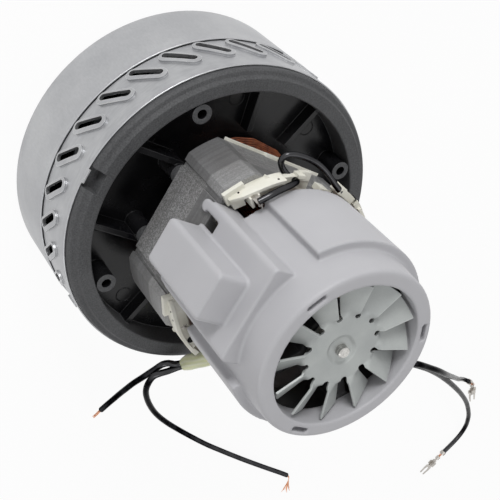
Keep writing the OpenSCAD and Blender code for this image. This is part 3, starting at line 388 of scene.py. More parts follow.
rolledAluminium = sheetMetal("rolled aluminium", {
    "metallic": 1.0, "radius": 0.05, "stretch": (0.1, 1.0, 0.2), "scale": 900.0, "fine": 1500.0,
    "cloud": 80.0, "dark": (0.55, 0.56, 0.57), "light": (0.72, 0.73, 0.74), "edge": 0.0004,
    "edgeHighlight": (0.85, 0.85, 0.85), "rough": (0.3, 0.42), "bump": 0.06,
})
tinPlate = sheetMetal("tin plate", {
    "metallic": 1.0, "radius": 0.3, "stretch": (1.0, 1.0, 1.0), "scale": 700.0, "fine": 2600.0,
    "cloud": 500.0, "dark": (0.4, 0.38, 0.35), "light": (0.62, 0.59, 0.55), "edge": 0.0002,
    "edgeHighlight": (0.8, 0.78, 0.74), "rough": (0.25, 0.4), "bump": 0.15,
})
brassSheet = sheetMetal("brass sheet", {
    "metallic": 1.0, "radius": 0.05, "stretch": (1.0, 1.0, 1.0), "scale": 800.0, "fine": 2000.0,
    "cloud": 160.0, "dark": (0.55, 0.4, 0.16), "light": (0.75, 0.58, 0.28), "edge": 0.0003,
    "edgeHighlight": (0.88, 0.75, 0.45), "rough": (0.25, 0.4), "bump": 0.1,
})
fanSheet = sheetMetal("fan sheet", {
    "metallic": 0.25, "radius": 0.03, "stretch": (1.0, 1.0, 1.0), "scale": 1500.0, "fine": 1800.0,
    "cloud": 90.0, "dark": (0.4, 0.42, 0.41), "light": (0.43, 0.45, 0.44), "edge": 0.0004,
    "edgeHighlight": (0.7, 0.72, 0.71), "rough": (0.4, 0.5), "bump": 0.04,
})
coverPlastic = moulded("cover plastic", {
    "fine": 2400.0, "cloud": 45.0, "edge": 0.0008, "edgeGain": 0.3, "dark": (0.44, 0.438, 0.458),
    "light": (0.47, 0.468, 0.488), "edgeHighlight": (0.6, 0.6, 0.62), "rough": (0.42, 0.55), "bump": 0.1,
    "inside": (0.0359, 0.1485), "insideShadeColour": (0.045, 0.045, 0.047),
})
bracketPlastic = moulded("bracket plastic", {
    "fine": 1600.0, "cloud": 70.0, "edge": 0.0006, "edgeGain": 0.5, "specular": 0.3,
    "dark": (0.004, 0.004, 0.005), "light": (0.011, 0.011, 0.012), "edgeHighlight": (0.15, 0.15, 0.155),
    "rough": (0.16, 0.32), "bump": 0.12, "faces": (0.0612, 0.0637),
    "faceRough": 0.6, "faceDark": (0.036, 0.037, 0.039), "faceLight": (0.105, 0.106, 0.11),
})
guidePlastic = moulded("guide plastic", {
    "fine": 1600.0, "cloud": 70.0, "edge": 0.0005, "edgeGain": 0.6, "specular": 0.1,
    "dark": (0.004, 0.004, 0.0045), "light": (0.008, 0.008, 0.009), "edgeHighlight": (0.02, 0.02, 0.02),
    "rough": (0.5, 0.7), "bump": 0.14,
})
formerPlastic = moulded("former plastic", {
    "fine": 2200.0, "cloud": 90.0, "edge": 0.0005, "edgeGain": 0.5,
    "dark": (0.7, 0.68, 0.58), "light": (0.84, 0.83, 0.76), "edgeHighlight": (0.93, 0.92, 0.88),
    "rough": (0.35, 0.5), "bump": 0.08,
})
carbon = moulded("carbon", {
    "fine": 3200.0, "cloud": 300.0, "edge": 0.0003, "edgeGain": 0.6,
    "dark": (0.02, 0.02, 0.022), "light": (0.05, 0.05, 0.052), "edgeHighlight": (0.11, 0.11, 0.11),
    "rough": (0.35, 0.6), "bump": 0.25,
})
laminations = laminated("laminations", {
    "sheet": 0.0005, "speckle": 1700.0, "cloud": 55.0,
    "dark": (0.2, 0.2, 0.202), "mid": (0.33, 0.33, 0.332), "light": (0.52, 0.52, 0.525),
    "smooth": (0.2, 0.2, 0.204), "arcs": 0.0436, "band": (0.0858, 0.0866),
})
enamelledCopper = wire("enamelled copper", {
    "metallic": 0.6, "coat": 0.6, "dark": (0.14, 0.03, 0.01), "light": (0.42, 0.12, 0.04),
    "rough": (0.25, 0.4),
})
bareCopper = wire("bare copper", {
    "metallic": 1.0, "coat": 0.0, "dark": (0.55, 0.25, 0.13), "light": (0.82, 0.45, 0.28),
    "rough": (0.25, 0.45),
})
barCopper = wire("bar copper", {
    "metallic": 1.0, "coat": 0.0, "dark": (0.45, 0.2, 0.09), "light": (0.7, 0.36, 0.2),
    "rough": (0.2, 0.35),
})
blackLead = insulation("black lead", {
    "dark": (0.035, 0.035, 0.037), "light": (0.07, 0.07, 0.073), "tint": (0.3, 0.3, 0.3),
    "rough": (0.16, 0.26),
})
yellowSleeve = sleeving("yellow sleeve", {
    "through": 0.5, "weave": 180.0, "dark": (0.84, 0.86, 0.56), "light": (0.93, 0.94, 0.74),
})
report("materials made")


# Making pieces

def linkPiece(name, data, material, body="motor_frame"):
    piece = bpy.data.objects.new(name, data)
    scene.collection.objects.link(piece)
    data.materials.clear()
    data.materials.append(material)
    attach(piece, body)
    return piece


def standFor(piece, node):
    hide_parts(node)


def addModifier(piece, kind, **settings):
    modifier = piece.modifiers.new(kind.lower(), kind)
    for key, value in settings.items():
        setattr(modifier, key, value)
    return modifier


def meshFrom(bm, name):
    mesh = bpy.data.meshes.new(name)
    bm.to_mesh(mesh)
    bm.free()
    return mesh


# Makes a piece of a worked mesh, with its edges softened where a width is given
def finishMesh(bm, name, material, body="motor_frame", soft=0.0):
    bmesh.ops.recalc_face_normals(bm, faces=bm.faces)
    piece = linkPiece(name, meshFrom(bm, name), material, body)
    if soft:
        addModifier(piece, "BEVEL", width=soft, segments=2, angle_limit=radians(40))
    return piece


# What a holder's modifiers make, as a plain mesh
def plainMesh(holder, name):
    mesh = bpy.data.meshes.new_from_object(holder.evaluated_get(bpy.context.evaluated_depsgraph_get()))
    mesh.name = name
    bpy.data.objects.remove(holder)
    return mesh


def newHolder(name, mesh):
    holder = bpy.data.objects.new(name, mesh)
    scene.collection.objects.link(holder)
    return holder


def runTree(tree, name):
    holder = newHolder(name, bpy.data.meshes.new(name))
    modifier = addModifier(holder, "NODES", node_group=tree)
    for item in tree.interface.items_tree:
        if item.in_out == "INPUT":
            modifier[item.identifier] = item.default_value
    return plainMesh(holder, name)


# Loose triangles of a CAD node, joined up
def joinedNode(node):
    bm = bmesh.new()
    bm.from_mesh(nodes[node].data)
    bmesh.ops.remove_doubles(bm, verts=bm.verts, dist=5e-6)
    return bm


def around(radius, a):
    return radius * cos(a), radius * sin(a)


# Place given by the angle round the shaft in degrees, the distance from it and the height
def spotAt(turn, out, height):
    return Vector((*around(out, radians(turn)), height)) * mm


# Walls between neighbouring rings of corners, and from the last one to the first where closed
def joinRings(bm, rings, closed=False):
    for a, b in zip(rings, rings[1:] + rings[:1] if closed else rings[1:]):
        for k in range(len(a)):
            j = (k + 1) % len(a)
            bm.faces.new((a[k], a[j], b[j], b[k]))


# Smooth path through points in millimetres, with a spot for about every step
def smoothPath(points, step):
    spots = [Vector(p) * mm for p in points]
    spots = [2 * spots[0] - spots[1]] + spots + [2 * spots[-1] - spots[-2]]
    out = []
    for i in range(1, len(spots) - 2):
        a, b, c, d = spots[i - 1:i + 3]
        count = max(2, int((c - b).length / step))
        for k in range(count):
            t = k / count
            out.append(0.5 * (2 * b + (c - a) * t + (2 * a - 5 * b + 4 * c - d) * t * t
                              + (3 * b - a - 3 * c + d) * t ** 3))
    out.append(spots[-2])
    return out


def tubeCurve(name, paths, radius, material, sides, closed=False, body="motor_frame"):
    data = bpy.data.curves.new(name, "CURVE")
    data.dimensions = "3D"
    data.bevel_depth = radius
    data.bevel_resolution = sides
    data.use_fill_caps = True
    for path in paths:
        spline = data.splines.new("POLY")
        spline.points.add(len(path) - 1)
        spline.use_cyclic_u = closed
        for point, place in zip(spline.points, path):
            point.co = (*place, 1.0)
    return linkPiece(name, data, material, body)


# Directions along, beside and above a path at one of its points
def pathFrame(path, i):
    along = (path[min(i + 1, len(path) - 1)] - path[max(i - 1, 0)]).normalized()
    side = along.cross(Vector((0, 0, 1))).normalized()
    return along, side, side.cross(along)


# Turns and moves what is drawn along X from the origin to a path's end
def endMatrix(path):
    along, side, up = pathFrame(path, len(path) - 1)
    turned = Matrix((along, -side, up)).transposed().to_4x4()
    turned.translation = path[-1]
    return turned


# Free leads. The points repeat the routes in the part's source.
longRoute = [
    (65.2, 15.8, 72.2), (67.4, 15.4, 70.4), (69.9, 12.9, 69.4), (73.1, 9.8, 68.7), (78, 6.9, 66),
    (85.3, 10.5, 60.8), (95.5, 18.8, 53), (107.8, 32.8, 43), (120.9, 50.8, 32), (132.6, 70.6, 21.8),
    (143, 91.7, 13), (151.7, 112.2, 6.8), (157.1, 126.4, 3.4), (160.9, 139.3, 1.7), (165.8, 161.7, 1.5),
    (170.2, 184.7, 1.5), (173.2, 201.6, 1.5), (174.6, 208.7, 1.5),
]
shortRoute = [
    (65.4, 12.2, 72), (67.1, 11.6, 70.6), (68.2, 9.7, 69.9), (68.8, 7.4, 69), (71.2, 6.4, 67),
    (77, 8.8, 62), (83.2, 11, 57), (90.8, 14.8, 50), (98.9, 18.8, 42.5), (108, 23.5, 34.5),
    (116.3, 28.1, 27), (124.2, 32.2, 20.3), (132.4, 35.9, 13.8), (139.8, 38.6, 8.6),
]
forkedRoute = [
    (1.3, 49, 129.4), (1.3, 56, 129.4), (4.4, 62.4, 127.9), (8.9, 69.2, 125.8), (13.9, 82.6, 122.4),
    (15.9, 92.9, 119.4), (20.7, 112.8, 111), (30.7, 147.3, 95), (43.5, 187.9, 77), (58.3, 231.3, 58),
    (73.8, 271.6, 40), (90.3, 307, 24), (99.6, 323.2, 16.4), (107.8, 336, 10), (116.8, 346, 4.6),
    (124.6, 349.6, 2.2), (132.3, 348, 1.95), (139.8, 345.4, 1.95),
]
receptacleRoute = [
    (-2.9, 49, 129.4), (-2.9, 56.2, 129.4), (-0.6, 61, 130.4), (5, 64.6, 131), (10.2, 70.5, 129.6),
    (12.1, 83.3, 125.8), (15.1, 98.1, 120.4), (18.8, 115.4, 114), (23.6, 133, 106), (31.8, 160.6, 91),
    (39.8, 186.8, 75.5), (47.9, 213, 60), (57.8, 244.8, 41), (67.6, 276.5, 22), (71.8, 291.4, 13),
    (75, 303.2, 6.4), (76.8, 311.8, 2.7), (77.5, 317.2, 1.95), (78.1, 320.6, 1.95),
]
leadSettings = {"radius": 0.0015, "step": 0.003, "sides": 5}


def makeLead(name, route, node):
    path = smoothPath(route, leadSettings["step"])
    for spot in path:
        spot.z = max(spot.z, leadSettings["radius"])
    lead = tubeCurve(name, [path], leadSettings["radius"], blackLead, leadSettings["sides"])
    standFor(lead, node)
    return lead, path


longLead, longPath = makeLead("long_lead", longRoute, "lead_long")
shortLead, shortPath = makeLead("short_lead", shortRoute, "lead_short")
forkedLead, forkedPath = makeLead("forked_lead", forkedRoute, "lead_forked")
receptacleLead, receptaclePath = makeLead("receptacle_lead", receptacleRoute, "lead_receptacle")

# Bare copper ends: the short one is neat, the long one is bent over and frayed
strandSettings = {
    "radius": 0.00016, "bundle": 0.0006, "neat": 12, "neatLength": (0.0118, 0.0138), "start": -0.001,
    "twist": 1.6, "flare": 0.25, "frayed": 22, "step": 0.0012, "floor": 0.0003,
    "fan": ((-0.0042, 0.002), (-0.0036, 0.0042), (0.0, 0.0022)), "fanFrom": 0.35, "fanBend": 1.6,
    "fanSize": 2.2,
    "frayedRoute": [
        (174.2, 206.4, 1.5), (174.8, 209.5, 1.5), (176.3, 212, 1.5), (179.8, 213.9, 1.3),
        (184.8, 215, 1.2), (189.6, 216.2, 1.1),
    ],
}


def strandPlace(bundle):
    return random.uniform(0, 2 * pi), bundle * sqrt(random.uniform(0.05, 1))


def neatStrands(s, path, steps=8):
    place = endMatrix(path)
    random.seed(5)
    strands = []
    for _ in range(s["neat"]):
        start, off = strandPlace(s["bundle"])
        length = random.uniform(*s["neatLength"])
        strand = []
        for k in range(steps + 1):
            t = k / steps
            wide = off * (1 + s["flare"] * t)
            strand.append(place @ Vector((length * t + s["start"], *around(wide, start + s["twist"] * t))))
        strands.append(strand)
    return strands


def frayedStrands(s):
    centre = smoothPath(s["frayedRoute"], s["step"])
    random.seed(9)
    strands = []
    for _ in range(s["frayed"]):
        start, off = strandPlace(s["bundle"])
        fan = Vector([random.uniform(*reach) for reach in s["fan"]])
        count = len(centre) - random.randint(0, 5)
        strand = []
        for k, spot in enumerate(centre[:count]):
            t = k / (len(centre) - 1)
            a = start + 2.0 * t
            side = Vector((off * cos(a), off * 0.6 * cos(a + 1), off * sin(a) * 0.8))
            place = spot + side + fan * max(0.0, t - s["fanFrom"]) ** s["fanBend"] * s["fanSize"]
            place.z = max(place.z, s["floor"])
            strand.append(place)
        strands.append(strand)
    return strands


shortStrands, longStrands = neatStrands(strandSettings, shortPath), frayedStrands(strandSettings)
shortCopper = tubeCurve("short_copper", shortStrands, strandSettings["radius"], bareCopper, 1)
longCopper = tubeCurve("long_copper", longStrands, strandSettings["radius"], bareCopper, 1)
standFor(shortCopper, "bare_end_short")
standFor(longCopper, "bare_end_long")

# Crimped terminals: insulation ring, bare wire, wire crimp, winged body and two prongs
terminalSettings = {
    "sheet": 0.0005, "bendAt": 0.0031,
    "barrels": [
        {"radius": 0.00195, "length": 0.0026, "start": -0.0018},
        {"radius": 0.00145, "length": 0.0026, "start": 0.0032},
    ],
    "barrelSteps": 22, "opening": 0.35,
    "half": [
        (3.4, 0.9), (6.8, 1), (7.4, 2.5), (8.8, 2.5), (8.8, 4.3), (12, 4.3), (12, 2.5), (13.2, 2.5),
        (13.5, 3.4), (16, 3.4), (20.4, 2.9), (21, 2.3), (20.4, 1.7), (16, 1.8), (14.6, 1),
    ],
    "tongue": {"size": (0.0042, 0.0036, 0.0018), "middle": (0.0104, 0, 0.0011), "soft": 0.0003},
    "strands": 9, "bundle": 0.0008, "bare": (0.0001, 0.0058),
}


def addBarrel(bm, s, barrel):
    turns = [s["opening"] + (2 * pi - 2 * s["opening"]) * k / s["barrelSteps"]
             for k in range(s["barrelSteps"] + 1)]
    outA, inA, outB, inB = [
        [bm.verts.new((x, radius * sin(a), radius * cos(a))) for a in turns]
        for x in (barrel["start"], barrel["start"] + barrel["length"])
        for radius in (barrel["radius"], barrel["radius"] - s["sheet"])
    ]
    for k in range(s["barrelSteps"]):
        bm.faces.new((outA[k], outA[k + 1], outB[k + 1], outB[k]))
        bm.faces.new((inA[k + 1], inA[k], inB[k], inB[k + 1]))
        bm.faces.new((outA[k + 1], outA[k], inA[k], inA[k + 1]))
        bm.faces.new((outB[k], outB[k + 1], inB[k + 1], inB[k]))
    bm.faces.new((outA[0], outB[0], inB[0], inA[0]))
    bm.faces.new((outB[-1], outA[-1], inA[-1], inB[-1]))


# A folded tongue that stands on the terminal's body
def addTongue(bm, s):
    tongue = bmesh.ops.create_cube(bm, size=1.0)["verts"]
    bmesh.ops.scale(bm, vec=s["size"], verts=tongue)
    bmesh.ops.translate(bm, vec=s["middle"], verts=tongue)
    corners = list({edge for corner in tongue for edge in corner.link_edges})
    corners.sort(key=lambda edge: edge.index)
    bmesh.ops.bevel(bm, geom=corners, offset=s["soft"], segments=2, affect="EDGES")


def makeTerminal(name, path, node, narrow=1.0, bend=0.0):
    s = terminalSettings
    place = endMatrix(path)
    bm = bmesh.new()
    for barrel in s["barrels"]:
        addBarrel(bm, s, barrel)
    outline = s["half"] + [(x, -y) for x, y in reversed(s["half"])]
    low = [bm.verts.new((x * mm, y * mm * narrow, -s["sheet"] / 2)) for x, y in outline]
    raised = bmesh.ops.extrude_face_region(bm, geom=[bm.faces.new(low)])["geom"]
    top = [item for item in raised if isinstance(item, bmesh.types.BMVert)]
    bmesh.ops.translate(bm, vec=(0, 0, s["sheet"]), verts=top)
    addTongue(bm, s["tongue"])
    bmesh.ops.recalc_face_normals(bm, faces=bm.faces)
    bmesh.ops.rotate(bm, cent=(s["bendAt"], 0, 0), matrix=Matrix.Rotation(bend, 3, "Z"),
                     verts=[v for v in bm.verts if v.co.x > s["bendAt"]])
    terminal = finishMesh(bm, name, tinPlate)
    terminal.data.transform(place)
    standFor(terminal, node)
    random.seed(3)
    strands = []
    for _ in range(s["strands"]):
        start, off = strandPlace(s["bundle"])
        strands.append([
            place @ Vector((s["bare"][0] + s["bare"][1] * k / 5, *around(off, start + k * 0.1)))
            for k in range(6)
        ])
    copper = tubeCurve(name + "_copper", strands, strandSettings["radius"], bareCopper, 1)
    return [terminal, copper]


forkEnd = makeTerminal("fork_piece", forkedPath, "fork_terminal")
receptacleEnd = makeTerminal(
    "receptacle_piece", receptaclePath, "receptacle_terminal", narrow=0.75, bend=radians(-36))

cordFacts = [
    (longLead, longPath, "bare", [longCopper]),
    (shortLead, shortPath, "bare", [shortCopper]),
    (forkedLead, forkedPath, "connector", forkEnd),
    (receptacleLead, receptaclePath, "connector", receptacleEnd),
]
for lead, path, farEnd, ends in cordFacts:
    length = sum((b - a).length for a, b in zip(path, path[1:]))
    report("%s is %.0f mm long" % (lead.name, length / mm))

# Sleeve over the pair of leads: a little slack and flattened, open at both ends, and cut
# unevenly where the leads come out
sleeveSettings = {
    "route": [
        (41.5, 12, 94), (46, 12.4, 90), (51, 12.8, 85.6), (56, 13.3, 81), (60.4, 14, 76.2),
        (65, 14, 72.3),
    ],
    "radius": 0.0040, "wall": 0.0004, "flat": 0.88, "crumple": (0.00012, 0.0001), "cut": 0.0009,
    "sides": 40, "step": 0.0008, "pairOff": 0.0018, "pairRadius": 0.00145,
}


def makeSleeve(s):
    path = smoothPath(s["route"], s["step"])
    bm = bmesh.new()
    random.seed(2)
    first, second = random.uniform(0, 6.28), random.uniform(0, 6.28)
    skins = []
    for wall in (0, s["wall"]):
        skin = []
        for i, spot in enumerate(path):
            t = i / (len(path) - 1)
            along, side, up = pathFrame(path, i)
            ring = []
            for k in range(s["sides"]):
                a = 2 * pi * k / s["sides"]
                cut = s["cut"] * (sin(2 * a + 0.6) + 0.5 * sin(5 * a + 2)) * t ** 8
                large = s["crumple"][0] * sin(3 * a + first + 5 * t)
                small = s["crumple"][1] * sin(5 * a + second - 9 * t)
                wide = s["radius"] - wall + large + small
                x, y = around(wide, a)
                ring.append(bm.verts.new(spot + along * cut + side * x + up * y * s["flat"]))
            skin.append(ring)
        skins.append(skin)
    joinRings(bm, skins[0] + skins[1][::-1], closed=True)
    sleeve = finishMesh(bm, "yellow_sleeve", yellowSleeve)
    sleeve.data.shade_smooth()
    standFor(sleeve, "lead_sleeve")
    inner = [[p + Vector((0, off, 0)) for p in path[1:-1]] for off in (-s["pairOff"], s["pairOff"])]
    tubeCurve("sleeved_pair", inner, s["pairRadius"], blackLead, 3)


makeSleeve(sleeveSettings)

# Leads that stay on the formers
jumperRoute = [
    (-28.8, -32.5, 109.3), (-32.4, -29.6, 109.6), (-35.4, -26.2, 109), (-37.8, -22, 107.6),
    (-39.2, -18.4, 105.6), (-39.4, -15.8, 103.2), (-38.9, -14.8, 100.4), (-38.9, -16, 97.8),
    (-40.2, -18.8, 96.2), (-42.6, -21.2, 95.8), (-45.4, -21, 96.2), (-47.2, -17.8, 97),
    (-48, -13.6, 98), (-48, -9, 99), (-47.2, -4.8, 100), (-45.6, -0.8, 101.2), (-43.8, 2.8, 102.4),
    (-42, 7.1, 103.4),
]
upperTail = [
    (28.8, 32.5, 109), (32.4, 29.9, 109), (36, 27, 108.4), (39.8, 23, 106.6), (42.2, 18.4, 103.9),
    (41.8, 13.6, 100.9), (40.2, 10.9, 98.2), (39.5, 10, 95.8), (41.3, 10.2, 94.2),
]
lowerTail = [
    (29.4, 32.9, 105.5), (32.9, 30.4, 105.5), (37, 28.2, 104.8), (40.9, 24.7, 102.9),
    (42.6, 20.6, 100.4), (41.6, 16.6, 98.2), (39.5, 13.6, 95.8), (41.3, 13.8, 94.2),
]
tailSettings = {"radius": 0.0013, "step": 0.001, "sides": 4}


def makeTails(name, routes, node):
    s = tailSettings
    paths = [smoothPath(route, s["step"]) for route in routes]
    standFor(tubeCurve(name, paths, s["radius"], blackLead, s["sides"]), node)


makeTails("jumper", [jumperRoute], "jumper_lead")
makeTails("tails", [upperTail, lowerTail], "coil_tails")
report("leads made")

# Field coils: many thin turns fill the space that the source's ten thick ones take
coilSettings = {
    "layers": 5, "turns": 12, "wire": 0.00037, "steps": 44, "body": 10.9, "depth": 2.1, "stagger": 0.2,
    "slack": 0.08, "r0": 22 + 3.6 + 0.45 + 0.8, "s0": 12.5 + 1 + 0.8, "legZ": 31 / 2 + 1.8 + 0.3,
    "endZ": 0.6 + 0.8 + 2.1 * 0.7, "middleZ": (67 + 98) / 2,
}


# Point of a turn, u across and w out in the winding. q goes once round in 24: up a leg, over the
# top of the stack, down the other leg and back under it.
def coilPoint(s, q, u, w):
    a = radians(0 if q < 3 else (q - 3) * 20 if q < 12 else 180 if q < 15 else 180 + (q - 15) * 20)
    leg = q / 1.5 - 1 if q < 3 else 1 if q < 12 else 1 - (q - 12) / 1.5 if q < 15 else -1
    sine = 0.0 if abs(sin(a)) < 1e-9 else sin(a)
    cosine = 0.0 if abs(cos(a)) < 1e-9 else cos(a)
    over = abs(sine) ** 0.7
    radius = s["r0"] + w * (1 - 0.25 * over) + over * (1.8 + u * (0.66 if sine > 0 else 0.73))
    turn = (s["s0"] + u) * copysign(abs(cosine) ** 0.62, cosine) / s["r0"]
    endZ = abs(sine) ** 0.62 * (s["endZ"] + u * 0.9) - over * w * 0.45
    z = s["middleZ"] + leg * (s["legZ"] - 0.4 * w) + copysign(1, sine) * endZ * (sine != 0)
    return -radius * cos(turn), -radius * sin(turn), z


def makeCoil(name, node, side):
    s = coilSettings
    random.seed(11)
    loops = []
    for layer in range(s["layers"]):
        for turn in range(s["turns"]):
            u = (turn + s["stagger"] * (layer % 2)) * s["body"] / s["turns"] - 0.5
            w = layer * s["depth"] / (s["layers"] - 1) * 1.1 + random.uniform(-s["slack"], s["slack"])
            loop = []
            for k in range(s["steps"]):
                x, y, z = coilPoint(s, 24 * k / s["steps"], u, w)
                loop.append(Vector((side * x, side * y, z)) * mm)
            loops.append(loop)
    standFor(tubeCurve(name, loops, s["wire"], enamelledCopper, 1, closed=True), node)


makeCoil("coil_left", "field_coil_left", 1)
makeCoil("coil_right", "field_coil_right", -1)
report("coils made")

# Round ejector marks in the bracket's floor: thin rings set out round the shaft
markSettings = {
    "tree": {"Count": 8, "Circle": 0.0535, "Radius": 0.0034, "Line": 0.00028},
    "height": 0.05203, "turn": 22.5,
}


def markTree(s):
    tree, value, result = newTree("ejector marks", s, shapeOutput, "GeometryNodeTree")
    circle = put(tree, "GeometryNodeMeshCircle", {"Vertices": value["Count"], "Radius": value["Circle"]})
    ring = put(tree, "GeometryNodeCurvePrimitiveCircle", {"Resolution": 32, "Radius": value["Radius"]})
    section = put(tree, "GeometryNodeCurvePrimitiveCircle", {"Resolution": 6, "Radius": value["Line"]})
    swept = put(tree, "GeometryNodeCurveToMesh", {"Curve": ring, "Profile Curve": section})
    placed = put(tree, "GeometryNodeInstanceOnPoints", {"Points": circle, "Instance": swept})
    real = put(tree, "GeometryNodeRealizeInstances", {"Geometry": placed})
    coat = put(tree, "GeometryNodeSetMaterial", {"Geometry": real, "Material": bracketPlastic})
    fill(tree, result, {"Geometry": coat})
    return tree


def makeMarks(s):
    mesh = runTree(markTree(s["tree"]), "ejector_marks")
    mesh.transform(Matrix.Translation((0, 0, s["height"])) @ Matrix.Rotation(radians(s["turn"]), 4, "Z"))
    linkPiece("ejector_marks", mesh, bracketPlastic)


makeMarks(markSettings)
report("details made")

# Cooling fan: one pressed sheet, its blades twisted out of the hub between keyholes
fanSettings = {
    "tree": {
        "Blades": 12, "Turn": radians(11.5), "Top": 0.1535, "Bore": 0.00235, "Tip": 0.0295,
        "Keyhole Circle": 0.01545, "Keyhole": 0.0013, "Root Width": 0.0066, "Tip Width": 0.0124,
        "Pitch": radians(31), "Dish": 0.0009, "Dish Long": 0.0015, "Dish Radius": 0.0052,
        "Dish Turn": radians(60),
    },
    "sheet": 0.0009, "soft": 0.00012, "sides": 48,
    "collar": [
        (0.0036, 0.1485), (0.0052, 0.1485), (0.0055, 0.1488), (0.0055, 0.1518), (0.0025, 0.1519),
        (0.0036, 0.1510),
    ],
}


def fanTree(s):
    tree, value, result = newTree("pressed fan", s, shapeOutput, "GeometryNodeTree")

    def m(operation, a, b=None):
        return mathNode(tree, operation, a, b)

    def mapped(source, low, high, toLow, toHigh, kind="LINEAR"):
        return put(tree, "ShaderNodeMapRange", {
            "Value": source, "From Min": low, "From Max": high, "To Min": toLow, "To Max": toHigh,
        }, interpolation_type=kind, clamp=kind != "LINEAR")

    grid = put(tree, "GeometryNodeMeshGrid", {
        "Size X": 1.0, "Size Y": 1.0, "Vertices X": 91, "Vertices Y": 25,
    })
    place = put(tree, "GeometryNodeInputPosition")
    split = splitUp(tree, place)
    along, across = m("ADD", split["X"], 0.5), m("MULTIPLY", split["Y"], 2.0)

    # Half the sheet's width at each radius: the whole sector in the hub, less beside a keyhole,
    # then the blade
    radius = mapped(along, 0.0, 1.0, value["Bore"], value["Tip"])
    step = m("DIVIDE", 2 * pi, value["Blades"])
    sector = m("MULTIPLY", radius, m("MULTIPLY", step, 0.5))
    past = m("SUBTRACT", radius, value["Keyhole Circle"])
    rest = m("SUBTRACT", m("MULTIPLY", value["Keyhole"], value["Keyhole"]), m("MULTIPLY", past, past))
    bite = m("SQRT", m("MAXIMUM", rest, 0.0))
    halfRoot, halfTip = m("MULTIPLY", value["Root Width"], 0.5), m("MULTIPLY", value["Tip Width"], 0.5)
    blade = mapped(radius, value["Keyhole Circle"], value["Tip"], halfRoot, halfTip)
    free = m("ADD", blade, m("MULTIPLY", m("LESS_THAN", radius, value["Keyhole Circle"]), 1.0))
    half = m("MINIMUM", m("SUBTRACT", sector, bite), free)

    angle = mapped(past, -0.0003, 0.0026, 0.0, value["Pitch"], "SMOOTHSTEP")
    wide = m("MULTIPLY", half, across)
    turn = m("DIVIDE", m("MULTIPLY", wide, m("COSINE", angle)), radius)
    spot = put(tree, "ShaderNodeCombineXYZ", {
        "X": m("MULTIPLY", radius, m("COSINE", turn)), "Y": m("MULTIPLY", radius, m("SINE", turn)),
        "Z": m("SUBTRACT", value["Top"], m("MULTIPLY", wide, m("SINE", angle))),
    })
    shaped = put(tree, "GeometryNodeSetPosition", {"Geometry": grid, "Position": spot})

    row = put(tree, "GeometryNodeMeshLine", {"Count": value["Blades"], "Offset": (0, 0, 0)})
    number = put(tree, "GeometryNodeInputIndex")
    sectorTurn = m("ADD", m("MULTIPLY", m("ADD", number, 0.5), step), value["Turn"])
    spin = put(tree, "ShaderNodeCombineXYZ", {"Z": sectorTurn})
    ring = put(tree, "GeometryNodeInstanceOnPoints", {"Points": row, "Instance": shaped, "Rotation": spin})
    real = put(tree, "GeometryNodeRealizeInstances", {"Geometry": ring})

    # Long dish pressed round the shaft
    back = m("MULTIPLY", value["Dish Turn"], -1.0)
    turned = put(tree, "ShaderNodeVectorRotate", {"Vector": place, "Angle": back}, rotation_type="Z_AXIS")
    parts = splitUp(tree, turned)
    far = m("MAXIMUM", m("SUBTRACT", m("ABSOLUTE", parts["X"]), value["Dish Long"]), 0.0)
    reach = m("SQRT", m("ADD", m("MULTIPLY", far, far), m("MULTIPLY", parts["Y"], parts["Y"])))
    beyond = m("SUBTRACT", reach, value["Dish Radius"])
    depth = mapped(beyond, -0.0009, 0.0009, value["Dish"], 0.0, "SMOOTHSTEP")
    sunk = put(tree, "ShaderNodeCombineXYZ", {"Z": m("MULTIPLY", depth, -1.0)})
    dished = put(tree, "GeometryNodeSetPosition", {"Geometry": real, "Offset": sunk})
    coat = put(tree, "GeometryNodeSetMaterial", {"Geometry": dished, "Material": fanSheet})
    fill(tree, result, {"Geometry": coat})
    return tree


def makeFan(s):
    mesh = runTree(fanTree(s["tree"]), "pressed_fan")
    bm = bmesh.new()
    bm.from_mesh(mesh)
    bmesh.ops.remove_doubles(bm, verts=bm.verts, dist=2e-6)
    bmesh.ops.recalc_face_normals(bm, faces=bm.faces)
    if sum(face.normal.z for face in bm.faces) < 0:
        bmesh.ops.reverse_faces(bm, faces=bm.faces)
    bm.to_mesh(mesh)
    bm.free()
    fan = linkPiece("pressed_fan", mesh, fanSheet, "rotor")
    addModifier(fan, "SOLIDIFY", thickness=s["sheet"], offset=-1.0)
    addModifier(fan, "BEVEL", width=s["soft"], segments=2, angle_limit=radians(50))
    mesh.shade_smooth()
    standFor(fan, "cooling_fan")


# Collar that the fan's sheet is pressed on
def makeCollar(s):
    bm = bmesh.new()
    turns = [2 * pi * k / s["sides"] for k in range(s["sides"])]
    rings = [[bm.verts.new((*around(r, a), z)) for a in turns] for r, z in s["collar"]]
    joinRings(bm, rings, closed=True)
    finishMesh(bm, "fan_collar", turnedSteel, "rotor")


makeFan(fanSettings)
makeCollar(fanSettings)
report("fan made")

# Cover: the source's shape with the soft corners and filled angles of a moulding
coverSettings = {"voxel": 0.0005, "rounds": 4, "keep": 0.22}


def makeCover(s):
    holder = newHolder("cover_holder", meshFrom(joinedNode("motor_cover"), "cover_holder"))
    addModifier(holder, "REMESH", mode="VOXEL", voxel_size=s["voxel"])
    addModifier(holder, "SMOOTH", factor=0.5, iterations=s["rounds"])
    addModifier(holder, "DECIMATE", ratio=s["keep"])
    mesh = plainMesh(holder, "moulded_cover")
    mesh.shade_smooth()
    report("cover has %d faces" % len(mesh.polygons))
    standFor(linkPiece("moulded_cover", mesh, coverPlastic), "motor_cover")


makeCover(coverSettings)
report("cover made")
